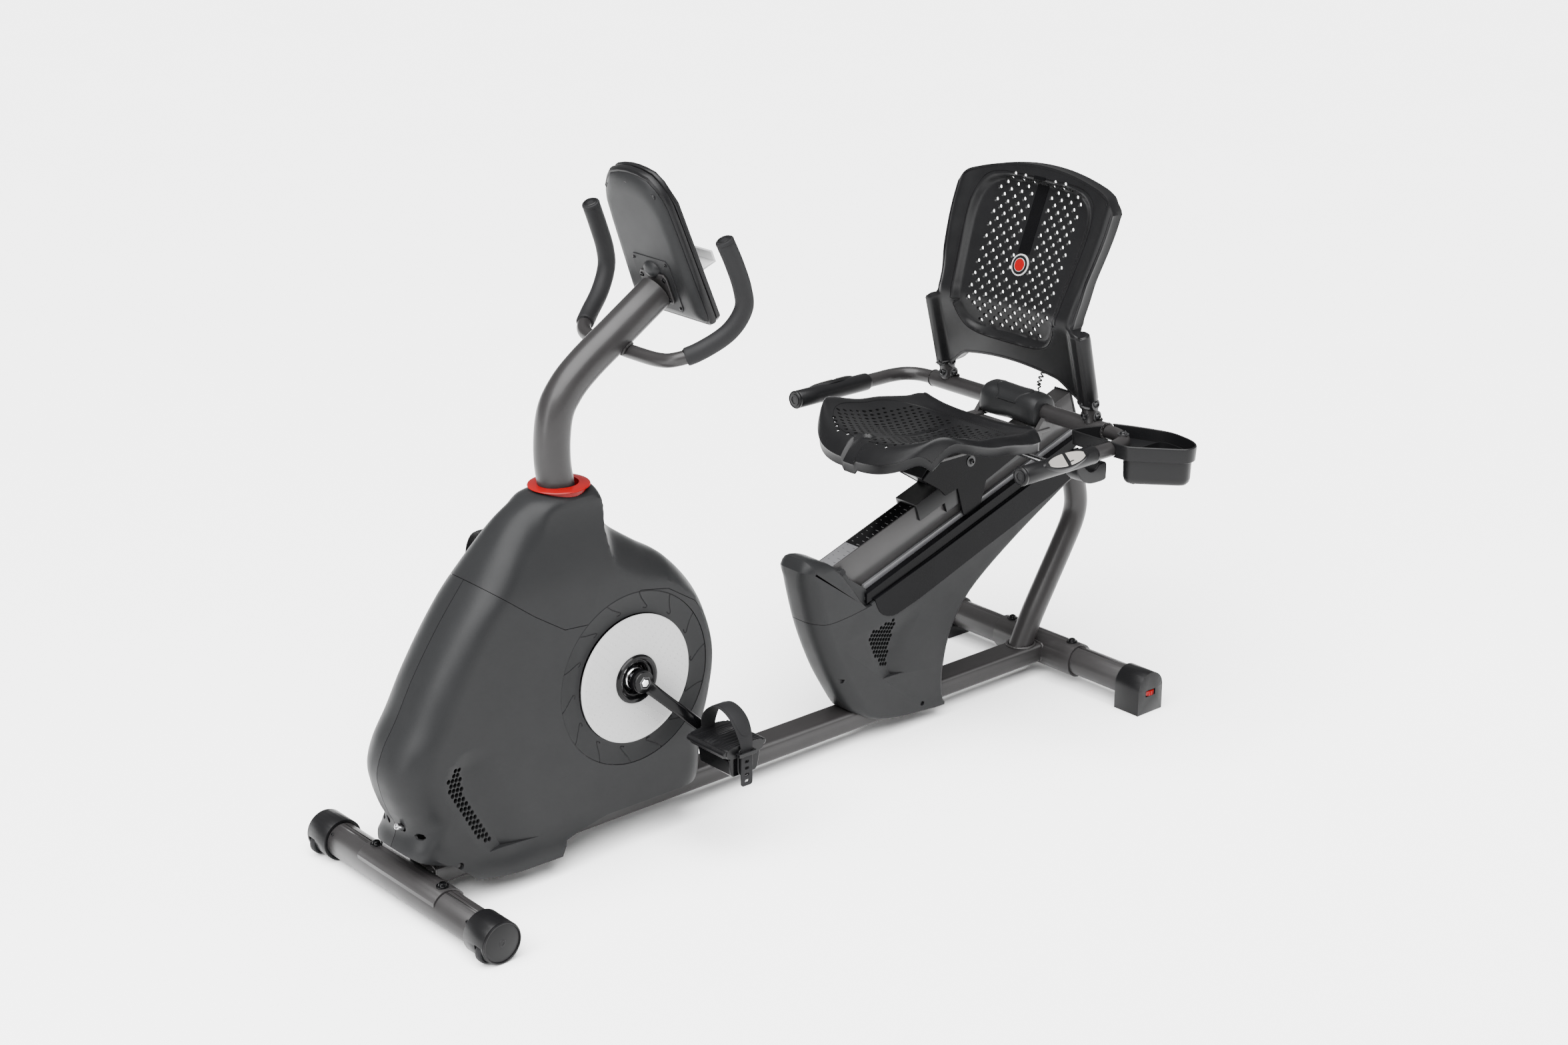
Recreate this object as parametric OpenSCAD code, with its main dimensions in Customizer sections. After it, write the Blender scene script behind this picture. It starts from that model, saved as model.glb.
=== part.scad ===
// Recumbent exercise bike with a step-through frame, a sliding seat and a belt-driven magnetic flywheel.
// +X runs from the console to the backrest, +Y to the rider's right, +Z up; the floor is z = 0.
// Inside a module, x is counted from the front stabiliser's axis and y from the bike's mid-plane.

/* [Frame] */
// Distance between the axes of the front and rear stabilisers
wheelbase = 1557; // [1540:1:1575]
// Outside diameter of the front stabiliser and mast tubes
main_tube_d = 63.5; // [60:0.5:65]
// Outside diameter of the rear stabiliser tube
rear_tube_d = 60; // [56:0.5:62]
// Overall width of the front stabiliser with its caps
front_width = 546; // [520:2:580]
// Overall width of the rear stabiliser with its feet
rear_width = 600; // [570:2:640]
// Width of the main beam
beam_w = 60; // [50:1:64]
// Height of the main beam
beam_h = 40; // [36:1:42]
// Wall of the steel tubes
tube_wall = 2; // [1.5:0.1:3]

/* [Drive] */
// Height of the crank axis
crank_z = 323; // [318:1:328]
// Distance from the crank axis to the pedal spindle
crank_length = 165; // [160:1:170]
// Radius of the drive pulley
pulley_r = 125; // [115:1:128]
// Radius of the small pulley on the flywheel's axle
pinion_r = 22; // [20:1:24]
// Radius of the flywheel
flywheel_r = 112; // [100:1:115]
// Radius of the crank axle
axle_r = 10; // [9:0.5:11]

/* [Covers] */
// Half width of the front shroud
shroud_half = 80; // [78:1:82]
// Wall of the plastic covers
cover_wall = 3; // [2.5:0.1:3.5]
// Radius of the light disc round the crank
disc_r = 118.5; // [110:0.5:120]

/* [Seat] */
// Slope of the seat rail
rail_angle = 18.6; // [18:0.1:19]
// Width of the seat rail
rail_w = 42; // [38:1:44]
// Half width of the seat pan at its widest
seat_half = 188; // [180:1:195]
// Half width of the backrest shell
back_half = 208; // [200:1:212]
// Distance of each side handle from the mid-plane
handle_y = 312; // [306:1:318]
// Height of the side handles
handle_z = 595; // [592:1:598]

/* [Console] */
// Height of the console along its own face
console_h = 292; // [280:1:300]
// Width of the console at its base
console_w = 200; // [190:1:205]
// Lean of the console's face from upright
console_lean = 20.7; // [18:0.1:22]

/* [Hidden] */
$fn = 48;

// Where the front stabiliser's axis and the mid-plane lie, so that the origin is under the middle.
nose_reach = 52;
tail_reach = 1669;
tray_reach = 440;
grip_reach = handle_y + 25;
front_x = -(tail_reach - nose_reach) / 2;
mid_y = (tray_reach - grip_reach) / 2;

// Clearances: a running shaft, a hair gap between neighbours and a clear gap between moving bodies.
run_gap = 0.05;
seam = 0.3;

// Stations along the bike.
front_z = 38;
rear_z = 50;
beam_z = 50.75;
crank_x = 431;
fly_x = 150;
fly_z = 265;
idler_x = 285;
post_x = 342;
belt_y = 52;
arm_y = 92;
pedal_y = 136;
pedal_w = 104;
spindle_r = 6;
front_tube_r = main_tube_d / 2;
rear_tube_r = rear_tube_d / 2;
cap_r = 38;
cap_len = 58;
foot_len = 63;
foot_w = 71;
sleeve_half = 107;
disc_y = shroud_half + seam;

paint = [0.23, 0.23, 0.24];
plastic = [0.17, 0.17, 0.18];
black = [0.07, 0.07, 0.08];
steel = [0.6, 0.6, 0.62];
silver = [0.8, 0.8, 0.8];
red = [0.8, 0.06, 0.08];

// ---- Shared helpers ----

module place() translate([front_x, mid_y, 0]) children();

// A round bar or a bored sleeve along Y, between two stations.
module bar_y(x, z, r, y0, y1) translate([x, y0, z]) rotate([-90, 0, 0]) cylinder(r = r, h = y1 - y0);
module sleeve_y(x, z, r, bore, y0, y1) difference() {
  bar_y(x, z, r, y0, y1);
  bar_y(x, z, bore, y0 - 1, y1 + 1);
}
// A plate cut to a side view outline, from y0 to y1.
module side_plate(outline, y0, y1)
  translate([0, y1, 0]) rotate([90, 0, 0]) linear_extrude(y1 - y0) polygon(outline);
// A plate cut to a front view outline of [y, z] points, from x0 to x1.
module front_plate(outline, x0, x1)
  translate([x0, 0, 0]) rotate([90, 0, 90]) linear_extrude(x1 - x0) polygon(outline);
// A box with its four long edges rounded, lying along X.
module round_bar_x(x0, x1, w, h, r) translate([x0, 0, 0]) rotate([90, 0, 90])
  linear_extrude(x1 - x0) round_rect(w, h, r);
module round_rect(w, h, r) union() {
  square([w - 2 * r, h], center = true);
  square([w, h - 2 * r], center = true);
  for (i = [-1, 1], j = [-1, 1]) translate([i * (w / 2 - r), j * (h / 2 - r)]) circle(r, $fn = 24);
}
// A dome-headed bolt with its washer, standing on z = 0 and reaching down.
module bolt(head_r = 7, reach = 10) {
  cylinder(r = head_r * 1.35, h = 1.6);
  translate([0, 0, 1.6]) cylinder(r1 = head_r, r2 = head_r * 0.7, h = head_r * 0.8);
  translate([0, 0, -reach]) cylinder(r = head_r * 0.55, h = reach);
}

function unit(v) = v / norm(v);
// A curve through hand-chosen points, with n steps between neighbours.
function spline_at(a, b, c, d, t) = 0.5 * (2 * b + (c - a) * t + (2 * a - 5 * b + 4 * c - d) * t * t
  + (3 * b - a - 3 * c + d) * t * t * t);
function smooth(p, n) = let (m = len(p)) [for (i = [0 : m - 2], k = [0 : n - 1])
  spline_at(p[max(i - 1, 0)], p[i], p[i + 1], p[min(i + 2, m - 1)], k / n), p[m - 1]];
function smooth_loop(p, n) = let (m = len(p)) [for (i = [0 : m - 1], k = [0 : n - 1])
  spline_at(p[(i + m - 1) % m], p[i], p[(i + 1) % m], p[(i + 2) % m], k / n)];
function ring(p, i, r, ref, n) = let (
    t = unit(p[min(i + 1, len(p) - 1)] - p[max(i - 1, 0)]),
    a = unit(cross(t, ref)),
    b = cross(t, a)
  ) [for (k = [0 : n - 1]) p[i] + r * (cos(360 * k / n) * a + sin(360 * k / n) * b)];
// A bent tube along a path: a solid bar where wall is 0.
module swept_tube(p, r, wall, ref, n = 14) {
  m = len(p);
  q = m * n;
  outer = [for (i = [0 : m - 1]) each ring(p, i, r, ref, n)];
  inner = wall == 0 ? [] : [for (i = [0 : m - 1]) each ring(p, i, r - wall, ref, n)];
  last = (m - 1) * n;
  skin = [for (i = [0 : m - 2], k = [0 : n - 1]) let (a = i * n + k, b = i * n + (k + 1) % n)
    [a, a + n, b + n, b]];
  if (wall == 0) polyhedron(outer, concat(skin, [[for (k = [0 : n - 1]) k]],
    [[for (k = [0 : n - 1]) last + n - 1 - k]]));
  else polyhedron(concat(outer, inner), concat(skin,
    [for (f = skin) [f[3] + q, f[2] + q, f[1] + q, f[0] + q]],
    [for (k = [0 : n - 1]) let (j = (k + 1) % n) [k, j, j + q, k + q]],
    [for (k = [0 : n - 1]) let (j = (k + 1) % n) [last + k, last + k + q, last + j + q, last + j]]));
}

// ---- Base frame ----

module main_beam() color(paint) place() difference() {
  union() {
    translate([0, 0, beam_z]) difference() {
      round_bar_x(20, wheelbase - 20, beam_w, beam_h, 8);
      round_bar_x(19, wheelbase - 19, beam_w - 2 * tube_wall, beam_h - 2 * tube_wall, 6);
    }
    // Saddle plate over the front stabiliser.
    intersection() {
      bar_y(0, front_z, front_tube_r + 4, -118, 118);
      translate([-30, -118, front_z + 12]) cube([60, 236, 40]);
    }
    bar_y(wheelbase, rear_z, rear_tube_r + 5, -sleeve_half, sleeve_half);
  }
  bar_y(0, front_z, front_tube_r, -200, 200);
  bar_y(wheelbase, rear_z, rear_tube_r, -200, 200);
  for (s = [-1, 1]) translate([0, s * 102, front_z]) cylinder(r = 4, h = 60);
  for (s = [-1, 1]) translate([wheelbase, s * 85, rear_z]) cylinder(r = 4, h = 60);
}

module front_stabilizer() color(paint) place() difference() {
  sleeve_y(0, front_z, front_tube_r, front_tube_r - tube_wall, -front_width / 2 + 30, front_width / 2 - 30);
  for (s = [-1, 1]) translate([0, s * 102, front_z]) cylinder(r = 4, h = 60);
}

// Wheel centre in each front cap, ahead of and below the tube's axis.
wheel_x = -20;
wheel_z = 24;
wheel_r = 21;
wheel_w = 16;
wheel_mid_y = front_width / 2 - 16;
module front_cap() difference() {
  union() {
    bar_y(0, front_z, cap_r, -front_width / 2 + 2, -front_width / 2 + cap_len);
    bar_y(0, front_z, cap_r - 2, -front_width / 2, -front_width / 2 + 3);
  }
  bar_y(0, front_z, front_tube_r, -front_width / 2 + 30, -front_width / 2 + cap_len + 1);
  // Wheel well, open to the front and below.
  intersection() {
    bar_y(wheel_x, wheel_z, wheel_r + 2, -wheel_mid_y - wheel_w / 2 - 1.5, -wheel_mid_y + wheel_w / 2 + 1.5);
    translate([-90, -front_width, -50]) cube([90, front_width, 110]);
  }
  bar_y(wheel_x, wheel_z, 3, -front_width / 2 + 3, -front_width / 2 + 29);
}
module front_caps() color(black) place() {
  front_cap();
  mirror([0, 1, 0]) front_cap();
}

module transport_wheel() color(black) place()
  sleeve_y(wheel_x, wheel_z, wheel_r - 1, 3 + run_gap, -wheel_mid_y - wheel_w / 2, -wheel_mid_y + wheel_w / 2);
module transport_wheel_left() transport_wheel();
module transport_wheel_right() translate([0, 2 * mid_y, 0]) mirror([0, 1, 0]) transport_wheel();

module rear_stabilizer() color(paint) place() difference() {
  sleeve_y(wheelbase, rear_z, rear_tube_r, rear_tube_r - tube_wall, -rear_width / 2 + 36, rear_width / 2 - 36);
  for (s = [-1, 1]) translate([wheelbase, s * 85, rear_z]) cylinder(r = 4, h = 60);
}

// Leveller: a knurled wheel captive in a slot in the foot, on a threaded stud with a pad below.
level_y = rear_width / 2 - 14;
level_z = 42;
level_r = 17;
level_t = 9;
stud_r = 4;
module rear_foot() difference() {
  union() {
    translate([wheelbase - foot_w / 2, -rear_width / 2, 0]) cube([foot_w, foot_len, 50]);
    bar_y(wheelbase, 50, foot_w / 2, -rear_width / 2, -rear_width / 2 + foot_len);
  }
  bar_y(wheelbase, rear_z, rear_tube_r, -rear_width / 2 + 36, -rear_width / 2 + foot_len + 1);
  // Slot for the wheel, open through the end face.
  translate([wheelbase - 14, -rear_width / 2 - 1, level_z - 6.5]) cube([28, 15, 13]);
  translate([wheelbase, -level_y, level_z - 6.5]) cylinder(r = level_r + 1.5, h = 13);
  translate([wheelbase, -level_y, -1]) cylinder(r = stud_r + 0.5, h = 62);
  translate([wheelbase, -level_y, -1]) cylinder(r = 13, h = 9);
}
module rear_feet() color(black) place() {
  rear_foot();
  mirror([0, 1, 0]) rear_foot();
}
module leveler_wheel() color(red) place() translate([wheelbase, -level_y, level_z - level_t / 2])
  difference() {
    union() {
      cylinder(r = level_r - 1, h = level_t);
      for (a = [0 : 15 : 345]) rotate(a) translate([level_r - 1.6, -0.9, 0]) cube([1.6, 1.8, level_t]);
    }
    translate([0, 0, -1]) cylinder(r = stud_r + run_gap, h = level_t + 2);
  }
module leveler_wheel_left() leveler_wheel();
module leveler_wheel_right() translate([0, 2 * mid_y, 0]) mirror([0, 1, 0]) leveler_wheel();
module leveler_pad() color(black) place() translate([wheelbase, -level_y, 0.3]) {
  cylinder(r = 12, h = 6);
  translate([0, 0, 6]) cylinder(r = stud_r, h = 50);
}
module leveler_pad_left() leveler_pad();
module leveler_pad_right() translate([0, 2 * mid_y, 0]) mirror([0, 1, 0]) leveler_pad();

module seat_support_tube() color(paint) place() difference() {
  swept_tube(smooth([[1488, 0, 60], [1525, 0, 130], [1566, 0, 196], [1605, 0, 258], [1634, 0, 308],
    [1644, 0, 345], [1636, 0, 385], [1622, 0, 412]], 3), 24, tube_wall, [0, 1, 0]);
  translate([1400, -40, 0]) cube([200, 80, beam_z + beam_h / 2]);
}

// ---- Seat rail ----

rail_x = 955;
rail_z = 292;
rail_len = 700;
rail_h = 88;
module on_rail() translate([rail_x, 0, rail_z]) rotate([0, -rail_angle, 0]) children();
module seat_rail() color(paint) place() on_rail() difference() {
  translate([0, -rail_w / 2, 0]) cube([rail_len, rail_w, rail_h]);
  translate([-1, -rail_w / 2 + 3, 3]) cube([rail_len - 6, rail_w - 6, rail_h - 6]);
}
module rail_strips() color(silver) place() on_rail() for (s = [-1, 1])
  translate([70, s < 0 ? -rail_w / 2 - 5 : rail_w / 2, 2]) cube([rail_len - 80, 5, 9]);

// Outline of the lower rail cover: a curved leg in front, an arch behind it and a tail under the rail.
leg_outline = [[862, 396], [870, 358], [886, 284], [918, 200], [952, 134], [990, 76], [1050, 46],
  [1109, 34], [1237, 26], [1228, 52], [1230, 96], [1243, 162], [1270, 214], [1341, 280],
  [1452, 351], [1560, 412], [1606, 440], [1598, 492], [1400, 427], [1040, 306], [1012, 298],
  [962, 384], [925, 400], [888, 412]];
leg_band = [[862, 396], [870, 358], [886, 284], [918, 200], [952, 134], [990, 76], [994, 80],
  [956, 136], [922, 201], [890, 285], [874, 358], [868, 392], [888, 407], [925, 395], [958, 380],
  [962, 384], [925, 400], [888, 412]];
tail_band = [[1228, 72], [1230, 96], [1243, 162], [1270, 214], [1341, 280], [1452, 351],
  [1560, 412], [1606, 440], [1604, 446], [1556, 417], [1450, 356], [1338, 285], [1266, 216],
  [1239, 164], [1226, 98], [1224, 72]];
leg_half = 45;
module rail_cover_half() difference() {
  union() {
    side_plate(leg_outline, -leg_half, -leg_half + cover_wall);
    side_plate(leg_band, -leg_half + cover_wall, -seam / 2);
    difference() {
      side_plate(tail_band, -leg_half + cover_wall, -seam / 2);
      bar_y(1610, 400, 34, -40, 40);
    }
  }
  // Round openings of the vent in the leg's side.
  for (i = [0 : 4], j = [0 : 5]) translate([1046 + 11 * i + 4 * j, -leg_half - 1, 150 + 15 * j + 4 * i])
    rotate([-90, 0, 0]) cylinder(r = 3.5, h = 6, $fn = 16);
  on_rail() translate([-20, -rail_w / 2 - seam, -seam]) cube([rail_len + 60, rail_w + 2 * seam, 140]);
}
module rail_shroud_left() color(plastic) place() rail_cover_half();
module rail_shroud_right() color(plastic) place() mirror([0, 1, 0]) rail_cover_half();

// ---- Drive frame inside the front shroud ----

beam_top = beam_z + beam_h / 2;
post_top = 600;
module drive_frame() color(paint) place() difference() {
  union() {
    // Upright post that the mast stands in.
    translate([post_x, 0, beam_top]) difference() {
      cylinder(r = 28, h = post_top - beam_top);
      translate([0, 0, -1]) cylinder(r = 25.5, h = post_top);
    }
    // Bottom bracket shell with its two side plates.
    bar_y(crank_x, crank_z, 24, -38, 38);
    for (s = [-1, 1]) side_plate([[post_x + 8, crank_z - 70], [post_x + 8, crank_z + 60],
      [crank_x - 10, crank_z + 20], [crank_x - 10, crank_z - 20]], s * 22 - 3, s * 22 + 3);
    // Flywheel plates, one each side of the wheel.
    for (s = [-1, 1]) side_plate([[fly_x - 45, beam_top], [fly_x + 45, beam_top],
      [fly_x + 20, fly_z + 24], [fly_x - 20, fly_z + 24]], s * 27 - 2.5, s * 27 + 2.5);
  }
  bar_y(crank_x, crank_z, 20, -60, 60);
  bar_y(fly_x, fly_z, 16, -60, 60);
  // Pivot hole of the brake arm in the flywheel plates.
  bar_y(fly_x + 18, fly_z - 150, 4, -60, 60);
}
module shaft_bearings() color(steel) place() {
  for (y = [-37, 26]) sleeve_y(crank_x, crank_z, 20, axle_r + run_gap, y, y + 11);
  for (y = [-29.5, 24.5]) sleeve_y(fly_x, fly_z, 16, 7.5 + run_gap, y, y + 5);
}

// ---- Crank, pulleys and belt ----

module crank_axle() color(steel) place() bar_y(crank_x, crank_z, axle_r, -arm_y - 15, arm_y + 15);
module drive_pulley() color(black) place() difference() {
  union() {
    bar_y(crank_x, crank_z, pulley_r, belt_y - 7, belt_y + 7);
    bar_y(crank_x, crank_z, 26, belt_y - 10, belt_y + 12);
  }
  bar_y(crank_x, crank_z, axle_r, 0, 100);
  for (a = [0 : 60 : 300]) translate([crank_x, 0, crank_z]) rotate([0, a, 0])
    bar_y(72, 0, 26, belt_y - 20, belt_y + 20);
}
// Left crank arm points back and down, the right one forward and up.
module crank_arm(turn) translate([crank_x, 0, crank_z]) rotate([0, turn, 0]) difference() {
  union() {
    bar_y(0, 0, 21, -arm_y - 15, -arm_y);
    hull() {
      bar_y(0, 0, 15, -arm_y - 15, -arm_y - 2);
      bar_y(crank_length, 0, 13, -pedal_y + 6, -pedal_y + 18, $fn = 32);
    }
    // Pedal spindle.
    bar_y(crank_length, 0, spindle_r, -pedal_y - pedal_w + 12, -pedal_y + 8);
  }
  bar_y(0, 0, axle_r, -arm_y - 16, -arm_y + 4);
}
module crank_arm_left() color(black) place() crank_arm(45);
module crank_arm_right() color(black) place() mirror([0, 1, 0]) crank_arm(225);

pedal_dx = crank_length * cos(45);
pedal_l = 96;
module at_pedal(s) translate([crank_x + s * pedal_dx, 0, crank_z - s * pedal_dx]) children();
// Pedal body: a weighted block whose underside hangs level, with a grooved tread.
module pedal_body() difference() {
  union() {
    side_plate([[-pedal_l / 2, -6], [-pedal_l / 2 + 8, 12], [pedal_l / 2 - 8, 12], [pedal_l / 2, -6],
      [pedal_l / 2 - 14, -20], [-pedal_l / 2 + 14, -20]], -pedal_y - pedal_w, -pedal_y);
    side_plate([[-10, -19], [10, -19], [14, -30], [-14, -30]], -pedal_y - pedal_w + 18, -pedal_y - 18);
  }
  bar_y(0, 0, spindle_r + run_gap, -pedal_y - pedal_w + 8, -pedal_y + 1);
  for (x = [-32 : 16 : 32]) if (abs(x) > 10) translate([x - 3, -pedal_y - pedal_w + 12, 8])
    cube([6, pedal_w - 24, 6]);
}
// Strap: a loop over the foot, fixed at the pedal's inner side and hooked at its outer side.
module pedal_strap() {
  loop_r = 52;
  translate([0, -pedal_y - pedal_w / 2, 12]) difference() {
    translate([-17, 0, 0]) rotate([90, 0, 90]) linear_extrude(34) difference() {
      union() {
        intersection() {
          circle(r = loop_r + 3);
          translate([-80, 0]) square([160, 80]);
        }
        translate([-loop_r - 3, -20]) square([3, 22]);
        translate([loop_r, -5]) square([3, 7]);
      }
      circle(r = loop_r);
      translate([-loop_r, -30]) square([2 * loop_r, 30]);
    }
  }
  // Free tail of the strap, hanging below the outer edge, with its row of slots.
  difference() {
    translate([-17, -pedal_y - pedal_w - 7, -62]) cube([24, 3, 58]);
    for (z = [-56 : 12 : -20]) translate([-9, -pedal_y - pedal_w - 9, z]) cube([8, 8, 6]);
  }
}
module pedal_left() color(black) place() at_pedal(1) pedal_body();
module pedal_right() color(black) place() at_pedal(-1) mirror([0, 1, 0]) pedal_body();
module pedal_strap_left() color(black) place() at_pedal(1) pedal_strap();
module pedal_strap_right() color(black) place() at_pedal(-1) mirror([0, 1, 0]) pedal_strap();

module flywheel() color(steel) place() difference() {
  union() {
    sleeve_y(fly_x, fly_z, flywheel_r, flywheel_r - 20, -14, 14);
    bar_y(fly_x, fly_z, flywheel_r - 18, -5, 5);
    bar_y(fly_x, fly_z, 22, -18, 18);
  }
  bar_y(fly_x, fly_z, 7.5, -60, 60);
}
module flywheel_axle() color(steel) place() {
  bar_y(fly_x, fly_z, 7.5, -36, belt_y + 12);
  sleeve_y(fly_x, fly_z, pinion_r, 7.5, belt_y - 8, belt_y + 8);
}

// Belt: the two pulleys' common tangents, drawn as a loop just clear of their rims.
belt_t = 3;
belt_gap = 0.4;
belt_w = 12;
belt_run = norm([crank_x - fly_x, crank_z - fly_z]);
belt_tilt = atan2(crank_z - fly_z, crank_x - fly_x);
belt_wrap = asin((pulley_r - pinion_r) / belt_run);
function rim_points(c, r, a0, a1, n) = [for (k = [0 : n]) let (a = a0 + (a1 - a0) * k / n) c + r * [cos(a), sin(a)]];
function belt_loop(extra) = concat(
  rim_points([crank_x, crank_z], pulley_r + extra, belt_tilt + 90 + belt_wrap, belt_tilt - 90 - belt_wrap, 72),
  rim_points([fly_x, fly_z], pinion_r + extra, belt_tilt + 270 - belt_wrap, belt_tilt + 90 + belt_wrap, 16));
module drive_belt() color(black) place() difference() {
  side_plate(belt_loop(belt_gap + belt_t), belt_y - belt_w / 2, belt_y + belt_w / 2);
  side_plate(belt_loop(belt_gap), belt_y - 20, belt_y + 20);
}
// Idler: a roller on the slack run, carried by an arm from the post.
idler_r = 25;
idler_base = fly_z + (idler_x - fly_x) * tan(belt_tilt + belt_wrap);
idler_z = idler_base + (pinion_r + belt_t + 2 * belt_gap + idler_r) / cos(belt_tilt + belt_wrap) + 0.5;
module idler_pulley() color(black) place() sleeve_y(idler_x, idler_z, idler_r, 5 + run_gap, belt_y - 8, belt_y + 8);
module idler_arm() color(steel) place() {
  bar_y(idler_x, idler_z, 5, 34, belt_y + 12);
  difference() {
    side_plate([[idler_x - 12, idler_z - 10], [idler_x + 5, idler_z + 14], [post_x + 6, idler_z + 40],
      [post_x + 6, idler_z + 10]], 29, 34);
    bar_y(idler_x, idler_z, 5, 0, 33.9);
  }
}

// Magnetic brake: a shoe of magnets round the rear of the wheel's rim, swung on a low pivot.
brake_px = fly_x + 18;
brake_pz = fly_z - 150;
module brake_arm() color(steel) place() difference() {
  union() {
    for (s = [-1, 1]) side_plate([[brake_px - 9, brake_pz - 9], [brake_px + 9, brake_pz - 9],
      [fly_x + 142, fly_z - 60], [fly_x + 134, fly_z + 20], [fly_x + 118, fly_z + 20],
      [fly_x + 124, fly_z - 50]], s * 19.5 - 1.5, s * 19.5 + 1.5);
    for (z = [fly_z - 40, fly_z - 12]) translate([fly_x + 122, -18, z]) cube([9, 36, 22]);
    bar_y(brake_px, brake_pz, 9, -21, 21);
  }
  bar_y(brake_px, brake_pz, 4 + run_gap, -30, 30);
}
module brake_servo() color(black) place() {
  difference() {
    translate([post_x - 52, -24, 430]) cube([24, 48, 60]);
    translate([post_x, 0, 400]) cylinder(r = 28.1, h = 120);
  }
  bar_y(post_x - 42, 475, 7, 24, 30);
}
module at_jack() translate([-22, -22, 160]) rotate([0, -62, 0]) children();
module dc_jack() color(steel) place() at_jack() {
  difference() {
    cylinder(r = 5.5, h = 14);
    translate([0, 0, 3]) cylinder(r = 2.75, h = 20);
  }
  translate([0, 0, 2.9]) cylinder(r = 1, h = 9);
}
module frame_fasteners() color(black) place() {
  for (s = [-1, 1]) {
    translate([0, s * 102, front_z + front_tube_r + 4]) bolt(7, 12);
    translate([wheelbase, s * 85, rear_z + rear_tube_r + 5]) bolt(7, 14);
    // Axles of the transport wheels.
    bar_y(wheel_x, wheel_z, 3, s < 0 ? -front_width / 2 + 3 : wheel_mid_y - 13,
      s < 0 ? -wheel_mid_y + 13 : front_width / 2 - 3);
  }
  bar_y(brake_px, brake_pz, 4, -33, 33);
}

// ---- Front shroud ----

// Red collar where the mast leaves the shroud.
collar_x = 338;
collar_r = 47.7;

// Side outline, clockwise from the lower front, with the lip and the flare at the foot.
shroud_outline = smooth_loop([[-34, 100], [-22, 150], [-36, 188], [-48, 226], [-52, 262], [-38, 302],
  [-9, 348], [28, 414], [80, 490], [142, 566], [205, 636], [250, 668], [292, 681], [376, 681],
  [394, 642], [424, 597], [485, 551], [545, 511], [594, 452], [622, 380], [633, 308], [626, 232],
  [606, 160], [592, 60], [512, 20], [300, -20], [140, -10], [30, 50]], 2);
shroud_mid = [300, 330];
shroud_steps = [0, 0.012, 0.035, 0.07, 0.115, 0.17, 0.4, 0.75];
edge_depth = 0.17;
function ease(t) = let (u = max(0, min(1, t))) u * u * (3 - 2 * u);
function half_width(z) = shroud_half - 27 * ease((z - 510) / 150) + 7 * ease((112 - z) / 45);
function edge_curve(t) = let (u = 1 - min(1, t / edge_depth)) pow(1 - pow(u, 2.2), 1 / 2.2);
// One skin of the shroud: rings drawn in from the outline, with the wall taken off.
module shroud_form(wall) {
  n = len(shroud_outline);
  j = len(shroud_steps);
  shrink = 1 - wall / 300;
  rim = [for (p = shroud_outline) shroud_mid + (p - shroud_mid) * shrink];
  function point(s, k, i) = let (t = shroud_steps[k], q = shroud_mid + (rim[i] - shroud_mid) * (1 - t))
    [q[0], s * (half_width(q[1]) - wall) * edge_curve(t), q[1]];
  pts = concat(
    [for (i = [0 : n - 1]) point(1, 0, i)],
    [for (s = [-1, 1], k = [1 : j - 1], i = [0 : n - 1]) point(s, k, i)],
    [for (s = [-1, 1]) [shroud_mid[0], s * (shroud_half - wall), shroud_mid[1]]]);
  function index(side, k, i) = k == 0 ? i % n : n + side * (j - 1) * n + (k - 1) * n + i % n;
  left = [for (k = [0 : j - 2], i = [0 : n - 1])
    [index(0, k, i), index(0, k, i + 1), index(0, k + 1, i + 1), index(0, k + 1, i)]];
  right = [for (k = [0 : j - 2], i = [0 : n - 1])
    [index(1, k, i), index(1, k + 1, i), index(1, k + 1, i + 1), index(1, k, i + 1)]];
  mid_left = n + 2 * (j - 1) * n;
  caps = [for (i = [0 : n - 1]) each [[index(0, j - 1, i), index(0, j - 1, i + 1), mid_left],
    [index(1, j - 1, i + 1), index(1, j - 1, i), mid_left + 1]]];
  polyhedron(pts, concat(left, right, caps));
}
// Side view of the seam under the top cover, and of the lip round the foot.
top_region = [[40, 640], [90, 596], [158, 544], [223, 494], [284, 454], [334, 450], [391, 473],
  [450, 484], [509, 472], [568, 434], [612, 372], [720, 372], [720, 760], [40, 760]];
foot_region = [[-90, 150], [-52, 131], [-16, 106], [37, 90], [63, 68], [89, 44], [172, 37], [258, 36],
  [270, 62], [302, 70], [362, 80], [512, 80], [560, 78], [640, 88], [640, -60], [-90, -60]];
module shroud_shell() difference() {
  shroud_form(0);
  shroud_form(cover_wall);
  side_plate(foot_region, -120, 120);
  // Way through for the main beam and the crank's hub.
  translate([-60, -beam_w / 2 - 1, 0]) cube([720, beam_w + 2, beam_top + 1]);
  bar_y(crank_x, crank_z, 34, -120, 120);
}
module shroud_side() {
  difference() {
    shroud_shell();
    translate([-100, -seam / 2, -10]) cube([800, 120, 760]);
    side_plate(top_region, -120, 120);
    vent_holes();
    at_jack() translate([0, 0, -12]) cylinder(r = 5.8, h = 40);
  }
  // Collar round the crank's hub.
  sleeve_y(crank_x, crank_z, 44, 34, -shroud_half - 8, -shroud_half + cover_wall);
}
module vent_holes() for (i = [0 : 3], j = [0 : 9])
  translate([52 + 11 * i - 3.2 * j + 0.95 * j * j, -100, 265 - 16 * j + 3 * i])
    rotate([-90, 0, 0]) cylinder(r = 3.6, h = 40, $fn = 16);
module shroud_left() color(plastic) place() shroud_side();
module shroud_right() color(plastic) place() mirror([0, 1, 0]) shroud_side();
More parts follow.
